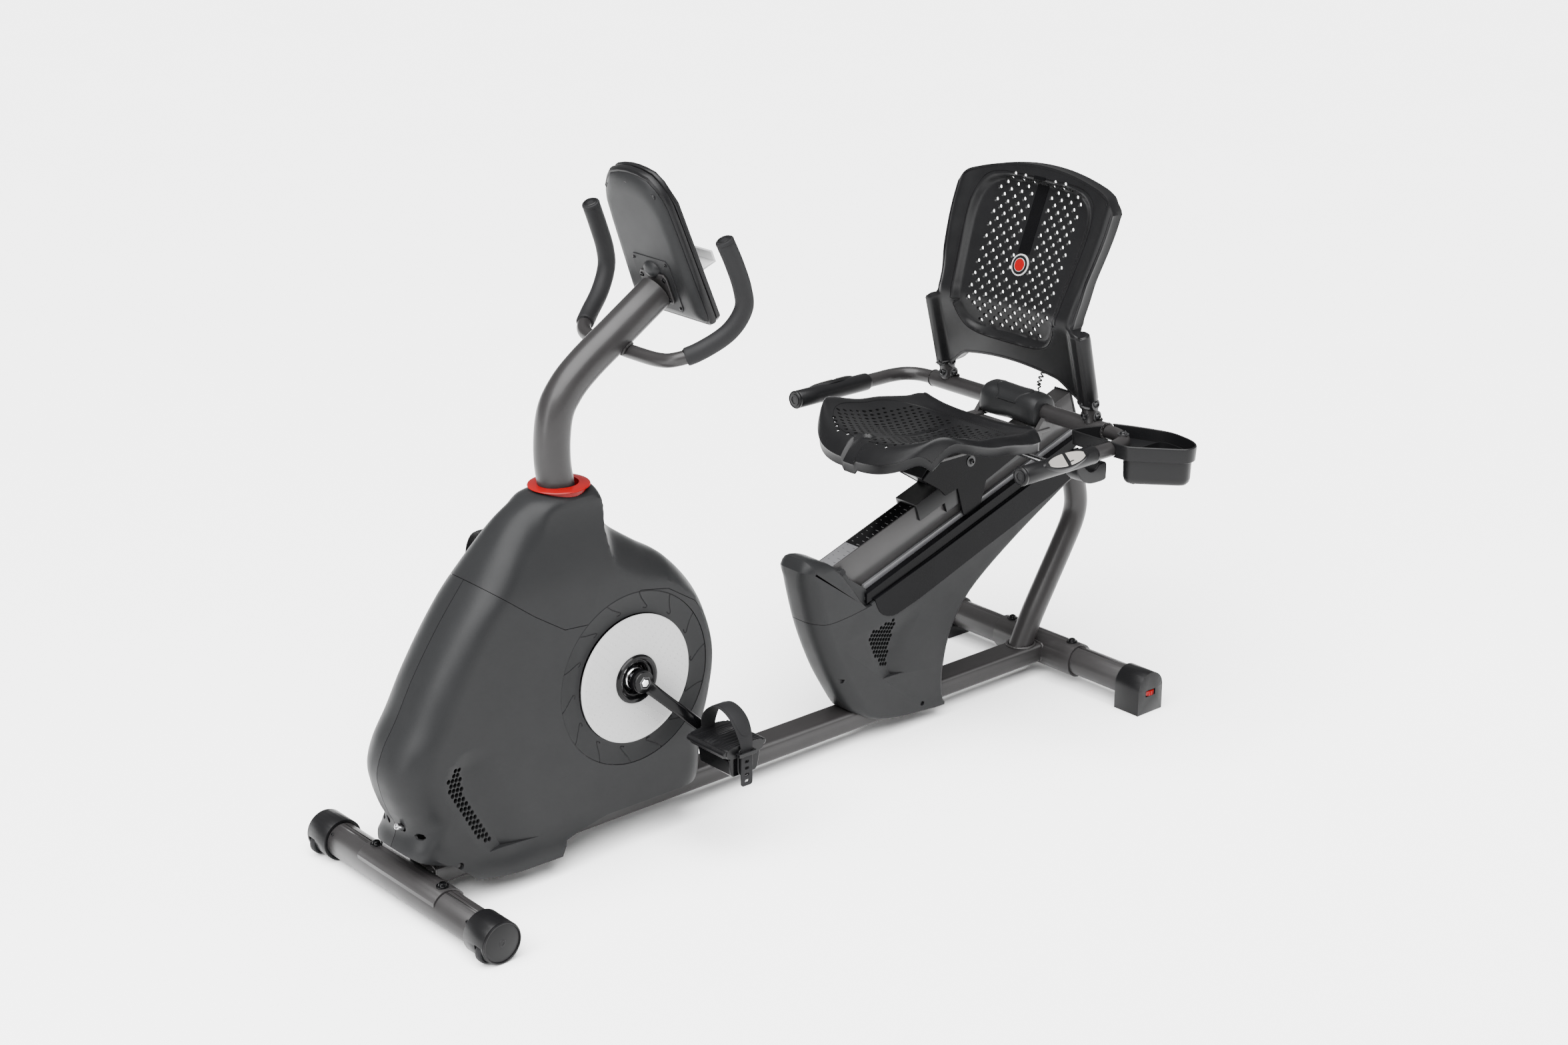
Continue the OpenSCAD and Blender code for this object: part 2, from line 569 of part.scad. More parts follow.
module shroud_top() color(plastic) place() difference() {
  intersection() {
    shroud_shell();
    translate([0, 0, seam]) side_plate(top_region, -120, 120);
  }
  translate([collar_x, 0, 640]) cylinder(r = collar_r + seam, h = 60);
}
module shroud_discs() color(silver) place() for (s = [-1, 1])
  sleeve_y(crank_x, crank_z, disc_r, 45, s < 0 ? -disc_y - 4 : disc_y, s < 0 ? -disc_y : disc_y + 4);

// ---- Mast, handlebar and console ----

mast_path = smooth([[342, 0, 560], [339, 0, 640], [326, 0, 730], [333, 0, 805], [358, 0, 848],
  [400, 0, 884], [467, 0, 927], [556, 0, 984]], 3);
module mast() color(paint) place() difference() {
  union() {
    difference() {
      swept_tube(mast_path, front_tube_r, tube_wall, [0, 1, 0], 20);
      translate([post_x, 0, 500]) cylinder(r = 28.2, h = post_top - 500 + 0.2);
    }
    // Plate that carries the console.
    on_console() translate([-30, -42, console_mount_h - 42]) cube([4, 84, 84]);
  }
  on_console() translate([-26, -60, console_mount_h - 60]) cube([80, 120, 120]);
  on_console() for (i = [-1, 1], j = [-1, 1]) translate([-60, i * 34, console_mount_h + j * 34])
    rotate([0, 90, 0]) cylinder(r = 2.6, h = 60);
}
module mast_collar() color(red) place() difference() {
  translate([collar_x, 0, 662]) {
    cylinder(r = collar_r, h = 19.3);
    translate([0, 0, 19.3]) cylinder(r1 = collar_r + 2.4, r2 = collar_r, h = 6);
  }
  translate([collar_x - 1.8, 0, 661]) rotate([0, -10, 0]) cylinder(r = front_tube_r + 0.9, h = 80, center = true);
}

// Half of the handlebar: out from the mast, round towards the rider and up to the grip's end.
bar_r = 12.5;
grip_r = 16;
bar_half = smooth([[484, 28, 893], [484, 92, 896], [494, 128, 902], [524, 154, 916], [568, 178, 946],
  [592, 189, 984], [590, 189, 1020], [574, 187, 1066], [556, 183, 1108]], 3);
grip_from = 10;
module bar_side() difference() {
  swept_tube(bar_half, bar_r, tube_wall, [1, 0, 0.3], 12);
  swept_tube(mast_path, front_tube_r, 0, [0, 1, 0], 20);
}
module handlebar() color(paint) place() {
  bar_side();
  mirror([0, 1, 0]) bar_side();
}
module grip_side() {
  swept_tube([for (i = [grip_from : len(bar_half) - 1]) bar_half[i]], grip_r, grip_r - bar_r - 0.2,
    [1, 0, 0.3], 12);
  translate([556, 183, 1108]) rotate([0, -22, 0]) rotate([4, 0, 0]) translate([0, 0, 1.4])
    cylinder(r1 = grip_r, r2 = grip_r - 4, h = 8);
}
module handlebar_grips() color(black) place() {
  grip_side();
  mirror([0, 1, 0]) grip_side();
}

// The console's own frame: origin at the middle of its face's foot, X out of the face to the rider.
console_foot = [612, 0, 937];
console_mount_h = 66;
module on_console() translate(console_foot) rotate([0, -console_lean, 0]) children();
console_outline = concat([[-console_w / 2 + 12, 0], [console_w / 2 - 12, 0]],
  [[console_w / 2, 12], [console_w / 2 - 12, console_h - 62], [console_w / 2 - 34, console_h - 22]],
  [for (y = [50 : -20 : -50]) [y, console_h - 0.0032 * y * y]],
  [[-console_w / 2 + 34, console_h - 22], [-console_w / 2 + 12, console_h - 62], [-console_w / 2, 12]]);
module console_slab(x0, x1, k) front_plate([for (p = console_outline)
  [p[0] * k, console_h / 2 + (p[1] - console_h / 2) * k]], x0, x1);
module console_back() color(plastic) place() on_console() difference() {
  union() {
    console_slab(-14, 0, 1);
    console_slab(-25.8, -14, 0.86);
  }
  console_slab(-11, 1, 0.97);
  console_slab(-22.8, -10, 0.82);
}
module console_bezel() color(black) place() on_console() difference() {
  console_slab(seam, 9, 1);
  translate([1, -72, 128]) cube([20, 144, 118]);
  for (y = [-44, 0, 44]) translate([-5, y, 38]) rotate([0, 90, 0]) cylinder(r = 13.4, h = 30);
}
module console_screen() color([0.12, 0.15, 0.14]) place() on_console() {
  translate([3, -71.7, 128.3]) cube([5, 143.4, 117.4]);
  translate([-8, -60, 40]) cube([2, 120, 170]);
}
module media_shelf() color(silver) place() on_console() difference() {
  translate([9 + seam, -86, 96]) cube([34, 172, 22]);
  translate([9, -90, 100]) cube([30, 180, 30]);
}
module console_key(y) color(steel) place() on_console() translate([0, y, 38]) rotate([0, 90, 0])
  translate([0, 0, -2]) {
    cylinder(r = 13, h = 13);
    cylinder(r = 15, h = 1.6);
  }
module key_down() console_key(-44);
module key_select() console_key(0);
module key_up() console_key(44);

// ---- Seat ----

carriage_from = 246;
carriage_len = 290;
under_z = 556;
// Saddle that runs on the rail: a cap over it and a skirt down each side.
module seat_carriage() color(black) place() {
  on_rail() difference() {
    translate([carriage_from, -rail_w / 2 - 8, rail_h - 52]) cube([carriage_len, rail_w + 16, 60]);
    translate([carriage_from - 1, -rail_w / 2 - 0.5, -20]) cube([carriage_len + 2, rail_w + 1, rail_h + 20.5]);
    translate([carriage_from - 1, -60, 0]) cube([70, 120, 58]);
  }
  // Wedge that makes the seat's base level, cross-drilled for the lever's rod.
  difference() {
    side_plate([[1236, 470], [1300, 490], [1440, 530], [1440, under_z], [1236, under_z]], -28, 28);
    on_rail() translate([0, -60, -100]) cube([rail_len, 120, rail_h + 108]);
    bar_y(lever_x, lever_z, 6.5, -40, 40);
  }
}

cross_x = 1462;
cross_z = 596;
module seat_frame() color(paint) place() difference() {
  union() {
    // Cross tube behind the seat.
    sleeve_y(cross_x, cross_z, 17, 15, -240, 240);
    // Stubs for the backrest.
    for (s = [-1, 1]) translate([cross_x + 4, s * 196, cross_z]) rotate([0, -14, 0]) cylinder(r = 16, h = 62);
    // Side handles, bent forward at each end of the cross tube.
    for (s = [-1, 1]) swept_tube(smooth([[cross_x, s * 239, cross_z], [cross_x - 2, s * 262, cross_z],
      [cross_x - 14, s * 292, cross_z], [cross_x - 44, s * 309, cross_z], [1380, s * handle_y, handle_z],
      [1250, s * handle_y, handle_z], [1155, s * handle_y, handle_z]], 3), 14, 2, [0, 0, 1], 14);
    // Rails under the seat pan.
    for (s = [-1, 1]) translate([1120, s * 80 - 12, under_z + 6]) cube([cross_x - 1120, 24, 6]);
    for (x = [1244, 1400]) translate([x, -92, under_z]) cube([36, 184, 6.5]);
    // Brackets that carry the cross tube on the rails.
    for (s = [-1, 1]) side_plate([[1424, 564], [1462, 564], [1474, 586], [1452, 590]], s * 84 - 5, s * 84 + 5);
  }
  bar_y(cross_x, cross_z, 15, -232, 232);
}
module seat_tube_cover() color(plastic) place() difference() {
  union() {
    bar_y(cross_x - 2, cross_z, 34, -74, 74);
    translate([cross_x - 36, -74, cross_z - 26]) cube([68, 148, 26]);
  }
  bar_y(cross_x, cross_z, 17.2, -100, 100);
  translate([cross_x - 60, -100, cross_z - 60]) cube([120, 200, 34]);
  for (s = [-1, 1]) translate([1120, s * 80 - 12.5, 561]) cube([cross_x - 1100, 25, 8]);
}

// Seat pan: a dished sheet, higher at the sides and over the thighs, rolled down at the front.
seat_front = 1004;
seat_back = 1352;
pan_t = 7;
pan_u = 20;
pan_v = 20;
function pan_half(u) = seat_half - 34 * pow(max(0, 1 - u / 0.3), 2) - 10 * ease((u - 0.6) / 0.4);
function pan_front(v) = seat_front + 70 * pow(abs(v), 3);
function pan_z(u, v) = 590 + 30 * ease((0.55 - u) / 0.5) - 38 * pow(max(0, 1 - u / 0.16), 2)
  + 42 * pow(abs(v), 3) * (1 - 0.5 * ease((u - 0.5) / 0.5)) - 26 * pow(max(0, abs(v) - 0.86) / 0.14, 2);
function pan_point(u, v, drop) = [pan_front(v) + (seat_back - pan_front(v)) * u,
  v * pan_half(u), pan_z(u, v) - drop];
module seat_pan() color(black) place() {
  n = pan_u + 1;
  m = pan_v + 1;
  top = [for (i = [0 : pan_u], j = [0 : pan_v]) pan_point(i / pan_u, 2 * j / pan_v - 1, 0)];
  low = [for (i = [0 : pan_u], j = [0 : pan_v]) pan_point(i / pan_u, 2 * j / pan_v - 1, pan_t)];
  q = n * m;
  cells = [for (i = [0 : pan_u - 1], j = [0 : pan_v - 1]) let (a = i * m + j) [a, a + 1, a + m + 1, a + m]];
  sides = concat(
    [for (j = [0 : pan_v - 1]) [j + 1, j, j + q, j + 1 + q]],
    [for (j = [0 : pan_v - 1]) let (a = pan_u * m + j) [a, a + 1, a + 1 + q, a + q]],
    [for (i = [0 : pan_u - 1]) let (a = i * m) [a, a + m, a + m + q, a + q]],
    [for (i = [0 : pan_u - 1]) let (a = i * m + pan_v) [a + m, a, a + q, a + m + q]]);
  polyhedron(concat(top, low), concat(cells, [for (c = cells) [c[3] + q, c[2] + q, c[1] + q, c[0] + q]], sides));
  // Pads that bolt down to the seat rails.
  for (pad = [[1150, 27], [1300, 21]], s = [-1, 1]) translate([pad[0], s * 80, 568]) cylinder(r = 9, h = pad[1]);
}

module side_grips() color(black) place() for (s = [-1, 1]) {
  difference() {
    union() {
      translate([1152, s * handle_y, handle_z]) rotate([0, 90, 0]) cylinder(r = 18, h = 190);
      translate([1146, s * handle_y, handle_z]) rotate([0, 90, 0]) cylinder(r1 = 15, r2 = 19, h = 8);
    }
    translate([1154, s * handle_y, handle_z]) rotate([0, 90, 0]) cylinder(r = 14.2, h = 200);
  }
  // Pulse sensor plate on the outer, upper side.
  translate([1215, s * (handle_y + 12), handle_z + 10]) rotate([s * -45, 0, 0]) translate([0, -14, 3])
    cube([90, 28, 5]);
}

// Backrest: the upper part leans back and the skirt below leans forward over the stubs.
back_knee = [1404, 800];
back_top = [1510, 1064];
back_foot = [1444, 655];
back_t = 26;
back_outline = concat(
  [[-back_half, 655], [-170, 655], [-150, 672]],
  [for (y = [-120 : 40 : 120]) [y, 690 - 0.0008 * y * y]],
  [[150, 672], [170, 655], [back_half, 655], [back_half, 1004], [188, 1034], [150, 1050]],
  [for (y = [120 : -40 : -120]) [y, 1066 - 0.0007 * y * y]],
  [[-150, 1050], [-188, 1034], [-back_half, 1004]]);
panel_outline = [[-140, 775], [-128, 748], [-104, 738], [104, 738], [128, 748], [140, 775],
  [160, 1000], [154, 1024], [130, 1036], [-130, 1036], [-154, 1024], [-160, 1000]];
function back_x(z) = z < back_knee[1]
  ? back_foot[0] + (back_knee[0] - back_foot[0]) * (z - back_foot[1]) / (back_knee[1] - back_foot[1])
  : back_knee[0] + (back_top[0] - back_knee[0]) * (z - back_knee[1]) / (back_top[1] - back_knee[1]);
function back_section(near, far) = let (zs = [640, 655, 730, back_knee[1], 880, 960, 1080])
  concat([for (z = zs) [back_x(z) + near, z]], [for (i = [len(zs) - 1 : -1 : 0]) [back_x(zs[i]) + far, zs[i]]]);
module backrest_shell() color(black) place() {
  difference() {
    intersection() {
      side_plate(back_section(0, back_t), -back_half, back_half);
      front_plate(back_outline, 1300, 1600);
    }
    front_plate([for (p = panel_outline) [p[0] + sign(p[0]) * seam, p[1] + (p[1] > 900 ? seam : -seam)]],
      1300, 1600);
    for (s = [-1, 1]) translate([cross_x + 4, s * 196, cross_z]) rotate([0, -14, 0]) cylinder(r = 16.3, h = 62.4);
  }
}
module backrest_panel() color(black) place() intersection() {
  side_plate(back_section(16, 22), -160, 160);
  front_plate(panel_outline, 1300, 1600);
}

// Accessory tray: a deep pocket outboard of the near handle, with a nose that wraps the bend.
tray_rim = [[1391, -346], [1402, -366], [1464, -438], [1488, -434], [1508, -412], [1518, -350], [1486, -262],
  [1478, -244], [1392, -214], [1384, -222], [1386, -340]];
tray_pocket = [[1396, -348], [1408, -368], [1464, -431], [1486, -428], [1502, -408], [1511, -352],
  [1502, -330], [1400, -330]];
module accessory_tray() color(black) place() difference() {
  union() {
    translate([0, 0, 590]) linear_extrude(18) polygon(tray_rim);
    translate([0, 0, 530]) linear_extrude(70) polygon(tray_pocket);
  }
  translate([0, 0, 533]) linear_extrude(90) polygon([[1401, -350], [1412, -370], [1466, -426],
    [1483, -424], [1497, -405], [1506, -352], [1498, -335], [1404, -335]]);
  // Ways through the band for the cross tube's end and the handle, and the opening round the bend.
  bar_y(cross_x, cross_z, 17.4, -265, -200);
  translate([1360, -handle_y, handle_z]) rotate([0, 90, 0]) cylinder(r = 14.6, h = 60);
  translate([0, 0, 560]) linear_extrude(90) polygon([[1402, -327.5], [1404, -236], [1476, -256], [1500, -322]]);
}

// Lever under the seat that frees the carriage.
lever_x = 1352;
lever_z = 546;
module seat_lever() color(black) place() {
  bar_y(lever_x, lever_z, 6, -266, 27);
  translate([lever_x - 12, -300, lever_z - 16]) cube([50, 38, 25]);
}

// Sensor cable: a curly lead from the tube cover round to the carriage's back.
cable_route = [[1478, -40, 627], [1486, -36, 652], [1500, -46, 676], [1512, -74, 684], [1518, -106, 676],
  [1516, -134, 655], [1506, -148, 634], [1490, -150, 617]];
module sensor_cable() color(black) place() swept_tube(smooth(cable_route, 4), 5.5, 0, [0.3, 0.2, 1], 10);

main_beam();
front_stabilizer();
front_caps();
rear_stabilizer();
rear_feet();
seat_support_tube();
seat_rail();
rail_strips();
rail_shroud_left();
rail_shroud_right();
drive_frame();
mast();
mast_collar();
handlebar();
handlebar_grips();
console_back();
console_bezel();
console_screen();
media_shelf();
shroud_left();
shroud_right();
shroud_top();
shroud_discs();
shaft_bearings();
drive_belt();
idler_arm();
brake_servo();
dc_jack();
frame_fasteners();
crank_axle();
drive_pulley();
crank_arm_left();
crank_arm_right();
pedal_left();
pedal_right();
pedal_strap_left();
pedal_strap_right();
flywheel();
flywheel_axle();
idler_pulley();
brake_arm();
transport_wheel_left();
transport_wheel_right();
leveler_wheel_left();
leveler_wheel_right();
leveler_pad_left();
leveler_pad_right();
key_select();
key_up();
key_down();
seat_carriage();
seat_frame();
seat_tube_cover();
seat_pan();
side_grips();
backrest_shell();
backrest_panel();
accessory_tray();
seat_lever();
sensor_cable();
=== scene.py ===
import math

import bmesh
import bpy
from mathutils import Matrix, Vector


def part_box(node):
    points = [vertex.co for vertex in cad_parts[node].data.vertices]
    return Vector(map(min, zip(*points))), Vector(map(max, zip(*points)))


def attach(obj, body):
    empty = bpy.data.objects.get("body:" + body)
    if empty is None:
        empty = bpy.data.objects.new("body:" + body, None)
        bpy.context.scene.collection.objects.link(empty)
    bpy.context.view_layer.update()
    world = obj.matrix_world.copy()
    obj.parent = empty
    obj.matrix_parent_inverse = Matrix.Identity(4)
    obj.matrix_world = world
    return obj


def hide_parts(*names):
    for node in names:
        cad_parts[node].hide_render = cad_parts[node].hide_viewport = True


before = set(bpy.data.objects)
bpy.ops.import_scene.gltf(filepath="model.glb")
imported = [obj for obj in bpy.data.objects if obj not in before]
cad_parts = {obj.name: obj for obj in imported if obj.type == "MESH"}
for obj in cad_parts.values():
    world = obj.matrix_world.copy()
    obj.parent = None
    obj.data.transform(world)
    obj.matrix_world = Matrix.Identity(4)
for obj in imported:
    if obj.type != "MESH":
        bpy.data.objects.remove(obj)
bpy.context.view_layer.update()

# ---- Places, worked out from the frame ----
# Bike coordinates are millimetres: x from the front stabiliser's axis, y from the mid-plane
# and z from the floor.
tube_low, tube_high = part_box("front_stabilizer")
FRONT_X = (tube_low.x + tube_high.x) / 2
MID_Y = (tube_low.y + tube_high.y) / 2


def at(x, y, z):
    """A point in bike millimetres as a place in the part's frame, in metres."""
    return Vector((FRONT_X + x / 1000, MID_Y + y / 1000, z / 1000))


# ---- Camera ----
CAMERA_AT = at(-2059.9, -3342.6, 2105.9)
CAMERA_YAW = 41.005
CAMERA_PITCH = 20.02


def make_camera():
    data = bpy.data.cameras.new("camera")
    data.sensor_fit = "HORIZONTAL"
    data.sensor_width = 36
    data.lens = 58.44
    data.clip_end = 60
    cam = bpy.data.objects.new("camera", data)
    cam.location = CAMERA_AT
    cam.rotation_euler = (math.radians(90 - CAMERA_PITCH), 0, math.radians(-CAMERA_YAW))
    bpy.context.scene.collection.objects.link(cam)
    bpy.context.scene.camera = cam


make_camera()


# ---- Materials ----

def material(name, color, rough, metallic=0.0, grain=0.0, grain_scale=900, tone=0.12, tone_scale=9,
             coat=0.0, specular=0.5, smudge=0.08, wear=0.0):
    """A procedural finish: colour drift, patchy roughness, a fine surface grain and paler worn edges."""
    mat = bpy.data.materials.new(name)
    mat.use_nodes = True
    nodes, links = mat.node_tree.nodes, mat.node_tree.links
    shader = nodes["Principled BSDF"]
    shader.inputs["Metallic"].default_value = metallic
    shader.inputs["Coat Weight"].default_value = coat
    shader.inputs["Coat Roughness"].default_value = 0.12
    shader.inputs["Specular IOR Level"].default_value = specular
    place = nodes.new("ShaderNodeTexCoord")

    def noise(scale, detail):
        tex = nodes.new("ShaderNodeTexNoise")
        tex.inputs["Scale"].default_value = scale
        tex.inputs["Detail"].default_value = detail
        links.new(place.outputs["Object"], tex.inputs["Vector"])
        return tex.outputs["Fac"]

    drift = nodes.new("ShaderNodeValToRGB")
    for stop, k in zip(drift.color_ramp.elements, (1 - tone, 1 + tone)):
        stop.color = [min(1, c * k) for c in color] + [1]
    drift.color_ramp.elements[0].position = 0.3
    drift.color_ramp.elements[1].position = 0.7
    links.new(noise(tone_scale, 4), drift.inputs["Fac"])
    out = drift.outputs["Color"]
    if wear:
        edges = nodes.new("ShaderNodeNewGeometry")
        ramp = nodes.new("ShaderNodeMapRange")
        ramp.inputs["From Min"].default_value = 0.52
        ramp.inputs["From Max"].default_value = 0.62
        ramp.inputs["To Max"].default_value = wear
        links.new(edges.outputs["Pointiness"], ramp.inputs["Value"])
        blend = nodes.new("ShaderNodeMix")
        blend.data_type = "RGBA"
        blend.inputs["B"].default_value = [min(1, 0.1 + 1.9 * c) for c in color] + [1]
        links.new(ramp.outputs["Result"], blend.inputs["Factor"])
        links.new(out, blend.inputs["A"])
        out = blend.outputs["Result"]
    links.new(out, shader.inputs["Base Color"])
    spread = nodes.new("ShaderNodeMapRange")
    spread.inputs["To Min"].default_value = max(0.02, rough - smudge)
    spread.inputs["To Max"].default_value = min(1, rough + smudge)
    links.new(noise(tone_scale * 3, 5), spread.inputs["Value"])
    links.new(spread.outputs["Result"], shader.inputs["Roughness"])
    if grain:
        bump = nodes.new("ShaderNodeBump")
        bump.inputs["Strength"].default_value = grain
        bump.inputs["Distance"].default_value = 0.0004
        links.new(noise(grain_scale, 3), bump.inputs["Height"])
        links.new(bump.outputs["Normal"], shader.inputs["Normal"])
    return mat


PAINT = material("charcoal_paint", (0.0125, 0.0117, 0.0119), 0.38, metallic=0.1, grain=0.10, grain_scale=1600,
                 specular=0.22, coat=0.05, wear=0.10)
SHELL = material("charcoal_plastic", (0.0085, 0.0087, 0.0091), 0.42, specular=0.10, grain=0.14,
                 grain_scale=1900, tone=0.05)
BLACK = material("black_plastic", (0.0034, 0.0034, 0.0037), 0.36, specular=0.14, grain=0.16, grain_scale=1500,
                 tone=0.10)
GLOSS = material("gloss_black", (0.0016, 0.0016, 0.0018), 0.14, tone=0.2, coat=0.0, specular=0.12,
                 smudge=0.05)
PANEL = material("panel_black", (0.0022, 0.0022, 0.0025), 0.26, specular=0.04, grain=0.05, tone=0.2,
                 smudge=0.05)
RED = material("red_plastic", (0.15, 0.0004, 0.0012), 0.30, specular=0.15, grain=0.04, coat=0, tone=0.05)
SILVER = material("silver_plastic", (0.30, 0.30, 0.30), 0.40, metallic=0.15, grain=0.05, tone=0.03)
STRIP = material("strip_aluminium", (0.14, 0.14, 0.145), 0.34, metallic=0.6, grain=0.10, grain_scale=2500)
CHROME = material("bright_steel", (0.62, 0.62, 0.63), 0.18, metallic=1.0, grain=0.05, tone=0.06)
BLACK_STEEL = material("black_steel", (0.004, 0.004, 0.0045), 0.26, metallic=0.1, specular=0.25, grain=0.05,
                       coat=0, wear=0.2)
IRON = material("cast_iron", (0.22, 0.21, 0.20), 0.5, metallic=0.8, grain=0.5, grain_scale=500)
RUBBER = material("black_rubber", (0.007, 0.007, 0.0075), 0.62, grain=0.35, grain_scale=700, specular=0.1)
FOAM = material("foam_grip", (0.008, 0.008, 0.0085), 0.55, grain=0.45, grain_scale=1100, specular=0.1)
IVORY = material("sensor_plate", (0.30, 0.285, 0.265), 0.30, metallic=0.55, grain=0.06, grain_scale=2500,
                 tone=0.04)
GLASS = material("screen_glass", (0.020, 0.026, 0.024), 0.10, tone=0.2, coat=1.0, smudge=0.03)
SEGMENT = material("screen_segment", (0.085, 0.105, 0.095), 0.35, tone=0.1)
WELD = material("weld_bead", (0.014, 0.013, 0.013), 0.42, metallic=0.15, grain=0.7, grain_scale=260)
# Near-black matte: painted shade in the bottoms of holes, and the real printed ticks on the rail scale.
HOLE_SHADE_AND_PRINT = material("hole_shade_and_print_black", (0.004, 0.004, 0.004), 0.8, tone=0.1)
MARK = material("scale_mark", (0.07, 0.07, 0.07), 0.5, tone=0.05)

# Looks whose slot has another name.
OTHER_SLOT = {"gloss_black": "black_plastic", "panel_black": "black_plastic",
              "sensor_plate": "silver_plastic", "screen_segment": "screen_glass",
              "weld_bead": "charcoal_paint", "foam_grip": "black_rubber", "hole_shade_and_print_black": "black_plastic",
              "scale_mark": "strip_aluminium"}


# ---- Mesh helpers ----

def solid(name, verts, faces, body, look, sharp=30, replaces=(), slot=None):
    """A piece from corners in bike millimetres, riding on a CAD body; its slot is worked out but not kept."""
    mesh = bpy.data.meshes.new(name)
    mesh.from_pydata([at(*v) for v in verts], [], [tuple(f) for f in faces])
    obj = bpy.data.objects.new(name, mesh)
    bpy.context.scene.collection.objects.link(obj)
    return dress(obj, body, look, sharp, replaces, slot)


def slot_of(look):
    """The record's slot for a look; Blender adds a number to a name that the frame already uses."""
    name = look.name.split(".")[0]
    return OTHER_SLOT.get(name, name)


def dress(obj, body, look, sharp=30, replaces=(), slot=None):
    """Gives a piece its finish and its body and hides the CAD nodes that it stands for; its slot is worked
    out but not kept.
    """
    obj.data.materials.clear()
    obj.data.materials.append(look)
    outward(obj)
    shade(obj, sharp)
    if body:
        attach(obj, body)
    if replaces:
        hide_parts(*replaces)
    if body:
        slot or slot_of(look)
    return obj


def outward(obj):
    """Turns a mesh's faces outwards."""
    bm = bmesh.new()
    bm.from_mesh(obj.data)
    bmesh.ops.recalc_face_normals(bm, faces=bm.faces)
    bm.to_mesh(obj.data)
    bm.free()


def shade(obj, sharp):
    """Smooth faces with sharp edges above an angle in degrees."""
    obj.data.polygons.foreach_set("use_smooth", [True] * len(obj.data.polygons))
    obj.data.set_sharp_from_angle(angle=math.radians(sharp))


def bake(obj):
    """Applies an object's modifiers to its mesh."""
    bpy.context.view_layer.update()
    graph = bpy.context.evaluated_depsgraph_get()
    mesh = bpy.data.meshes.new_from_object(obj.evaluated_get(graph))
    obj.modifiers.clear()
    obj.data = mesh


def combine(obj, others, operation="DIFFERENCE"):
    """Cuts other meshes out of obj, or keeps only what they share with it; the others are used up."""
    for other in others:
        mod = obj.modifiers.new("combine", "BOOLEAN")
        mod.operation = operation
        mod.solver = "MANIFOLD"
        mod.object = other
    bake(obj)
    for other in others:
        bpy.data.objects.remove(other)


def round_edges(obj, width, angle=35, segments=2):
    """A bevel of this width in mm on the edges sharper than the angle."""
    mod = obj.modifiers.new("edges", "BEVEL")
    mod.width = width / 1000
    mod.segments = segments
    mod.limit_method = "ANGLE"
    mod.angle_limit = math.radians(angle)
    mod.harden_normals = True


def loft(loops, closed=False):
    """Corners and faces of a skin through loops with the same number of points, capped unless closed."""
    n = len(loops[0])
    verts = [p for loop in loops for p in loop]
    last = len(loops) if closed else len(loops) - 1
    faces = []
    for i in range(last):
        a, b = i * n, ((i + 1) % len(loops)) * n
        faces += [(a + k, a + (k + 1) % n, b + (k + 1) % n, b + k) for k in range(n)]
    if not closed:
        faces += [tuple(range(n)), tuple(range((len(loops) - 1) * n, len(loops) * n))]
    return verts, faces


def plate(outline, near, far, plane="side"):
    """A prism: a side view is [x, z] along y, a front view [y, z] along x, a top view [x, y] along z."""
    def lift(p, depth):
        if plane == "side":
            return (p[0], depth, p[1])
        return (depth, p[0], p[1]) if plane == "front" else (p[0], p[1], depth)
    return loft([[lift(p, depth) for p in outline] for depth in (near, far)])


def pair(outline, inner, outer):
    """The same plate on both sides of the bike, between two distances from the mid-plane."""
    return [plate(outline, -outer, -inner), plate(outline, inner, outer)]


def turned(profile, origin, axis, sides=64):
    """A turned shape: profile pairs are radius and distance along the axis from the origin."""
    origin, axis = Vector(origin), Vector(axis).normalized()
    a = axis.orthogonal().normalized()
    b = axis.cross(a)
    ring = [(math.cos(2 * math.pi * k / sides), math.sin(2 * math.pi * k / sides)) for k in range(sides)]
    loops = [[origin + axis * h + (a * c + b * s) * max(r, 0.01) for c, s in ring] for r, h in profile]
    return loft(loops)


def ring_of(profile, origin, axis, sides=64):
    """A turned shape with a hole: the profile is a closed loop of radius and distance along the axis."""
    verts, faces = turned(profile, origin, axis, sides)
    n, m = sides, len(profile)
    faces = [f for f in faces if len(f) == 4]
    faces += [((m - 1) * n + k, (m - 1) * n + (k + 1) % n, (k + 1) % n, k) for k in range(n)]
    return verts, faces


def bend(a, b, c, d, t):
    """The point at t between b and c on a smooth curve past four points."""
    return 0.5 * (2 * b + (c - a) * t + (2 * a - 5 * b + 4 * c - d) * t * t
                  + (3 * b - a - 3 * c + d) * t ** 3)


def spline(points, steps):
    """A smooth curve through given points, with this many steps between neighbours."""
    pts = [Vector(p) for p in points]
    ends = [pts[0], *pts, pts[-1]]
    return [bend(*ends[i:i + 4], k / steps) for i in range(len(pts) - 1) for k in range(steps)] + [pts[-1]]


def spline_loop(points, steps):
    """The same, closed on itself."""
    pts, n = [Vector(p) for p in points], len(points)
    return [bend(pts[i - 1], pts[i], pts[(i + 1) % n], pts[(i + 2) % n], k / steps)
            for i in range(n) for k in range(steps)]


def sweep(path, section, up=(0, 0, 1), scale=None, closed=False):
    """A section of [side, up] offsets carried along a path; scale gives its size at each point."""
    path = [Vector(p) for p in path]
    normal, loops, n = Vector(up), [], len(path)
    for i, p in enumerate(path):
        before, after = (path[i - 1], path[(i + 1) % n]) if closed else (path[max(i - 1, 0)],
                path[min(i + 1, n - 1)])
        along = (after - before).normalized()
        normal = (normal - along * normal.dot(along)).normalized()
        side = along.cross(normal)
        k = scale[i] if scale else 1
        ku, kv = k if isinstance(k, tuple) else (k, k)
        loops.append([p + side * u * ku + normal * v * kv for u, v in section])
    return loft(loops, closed)


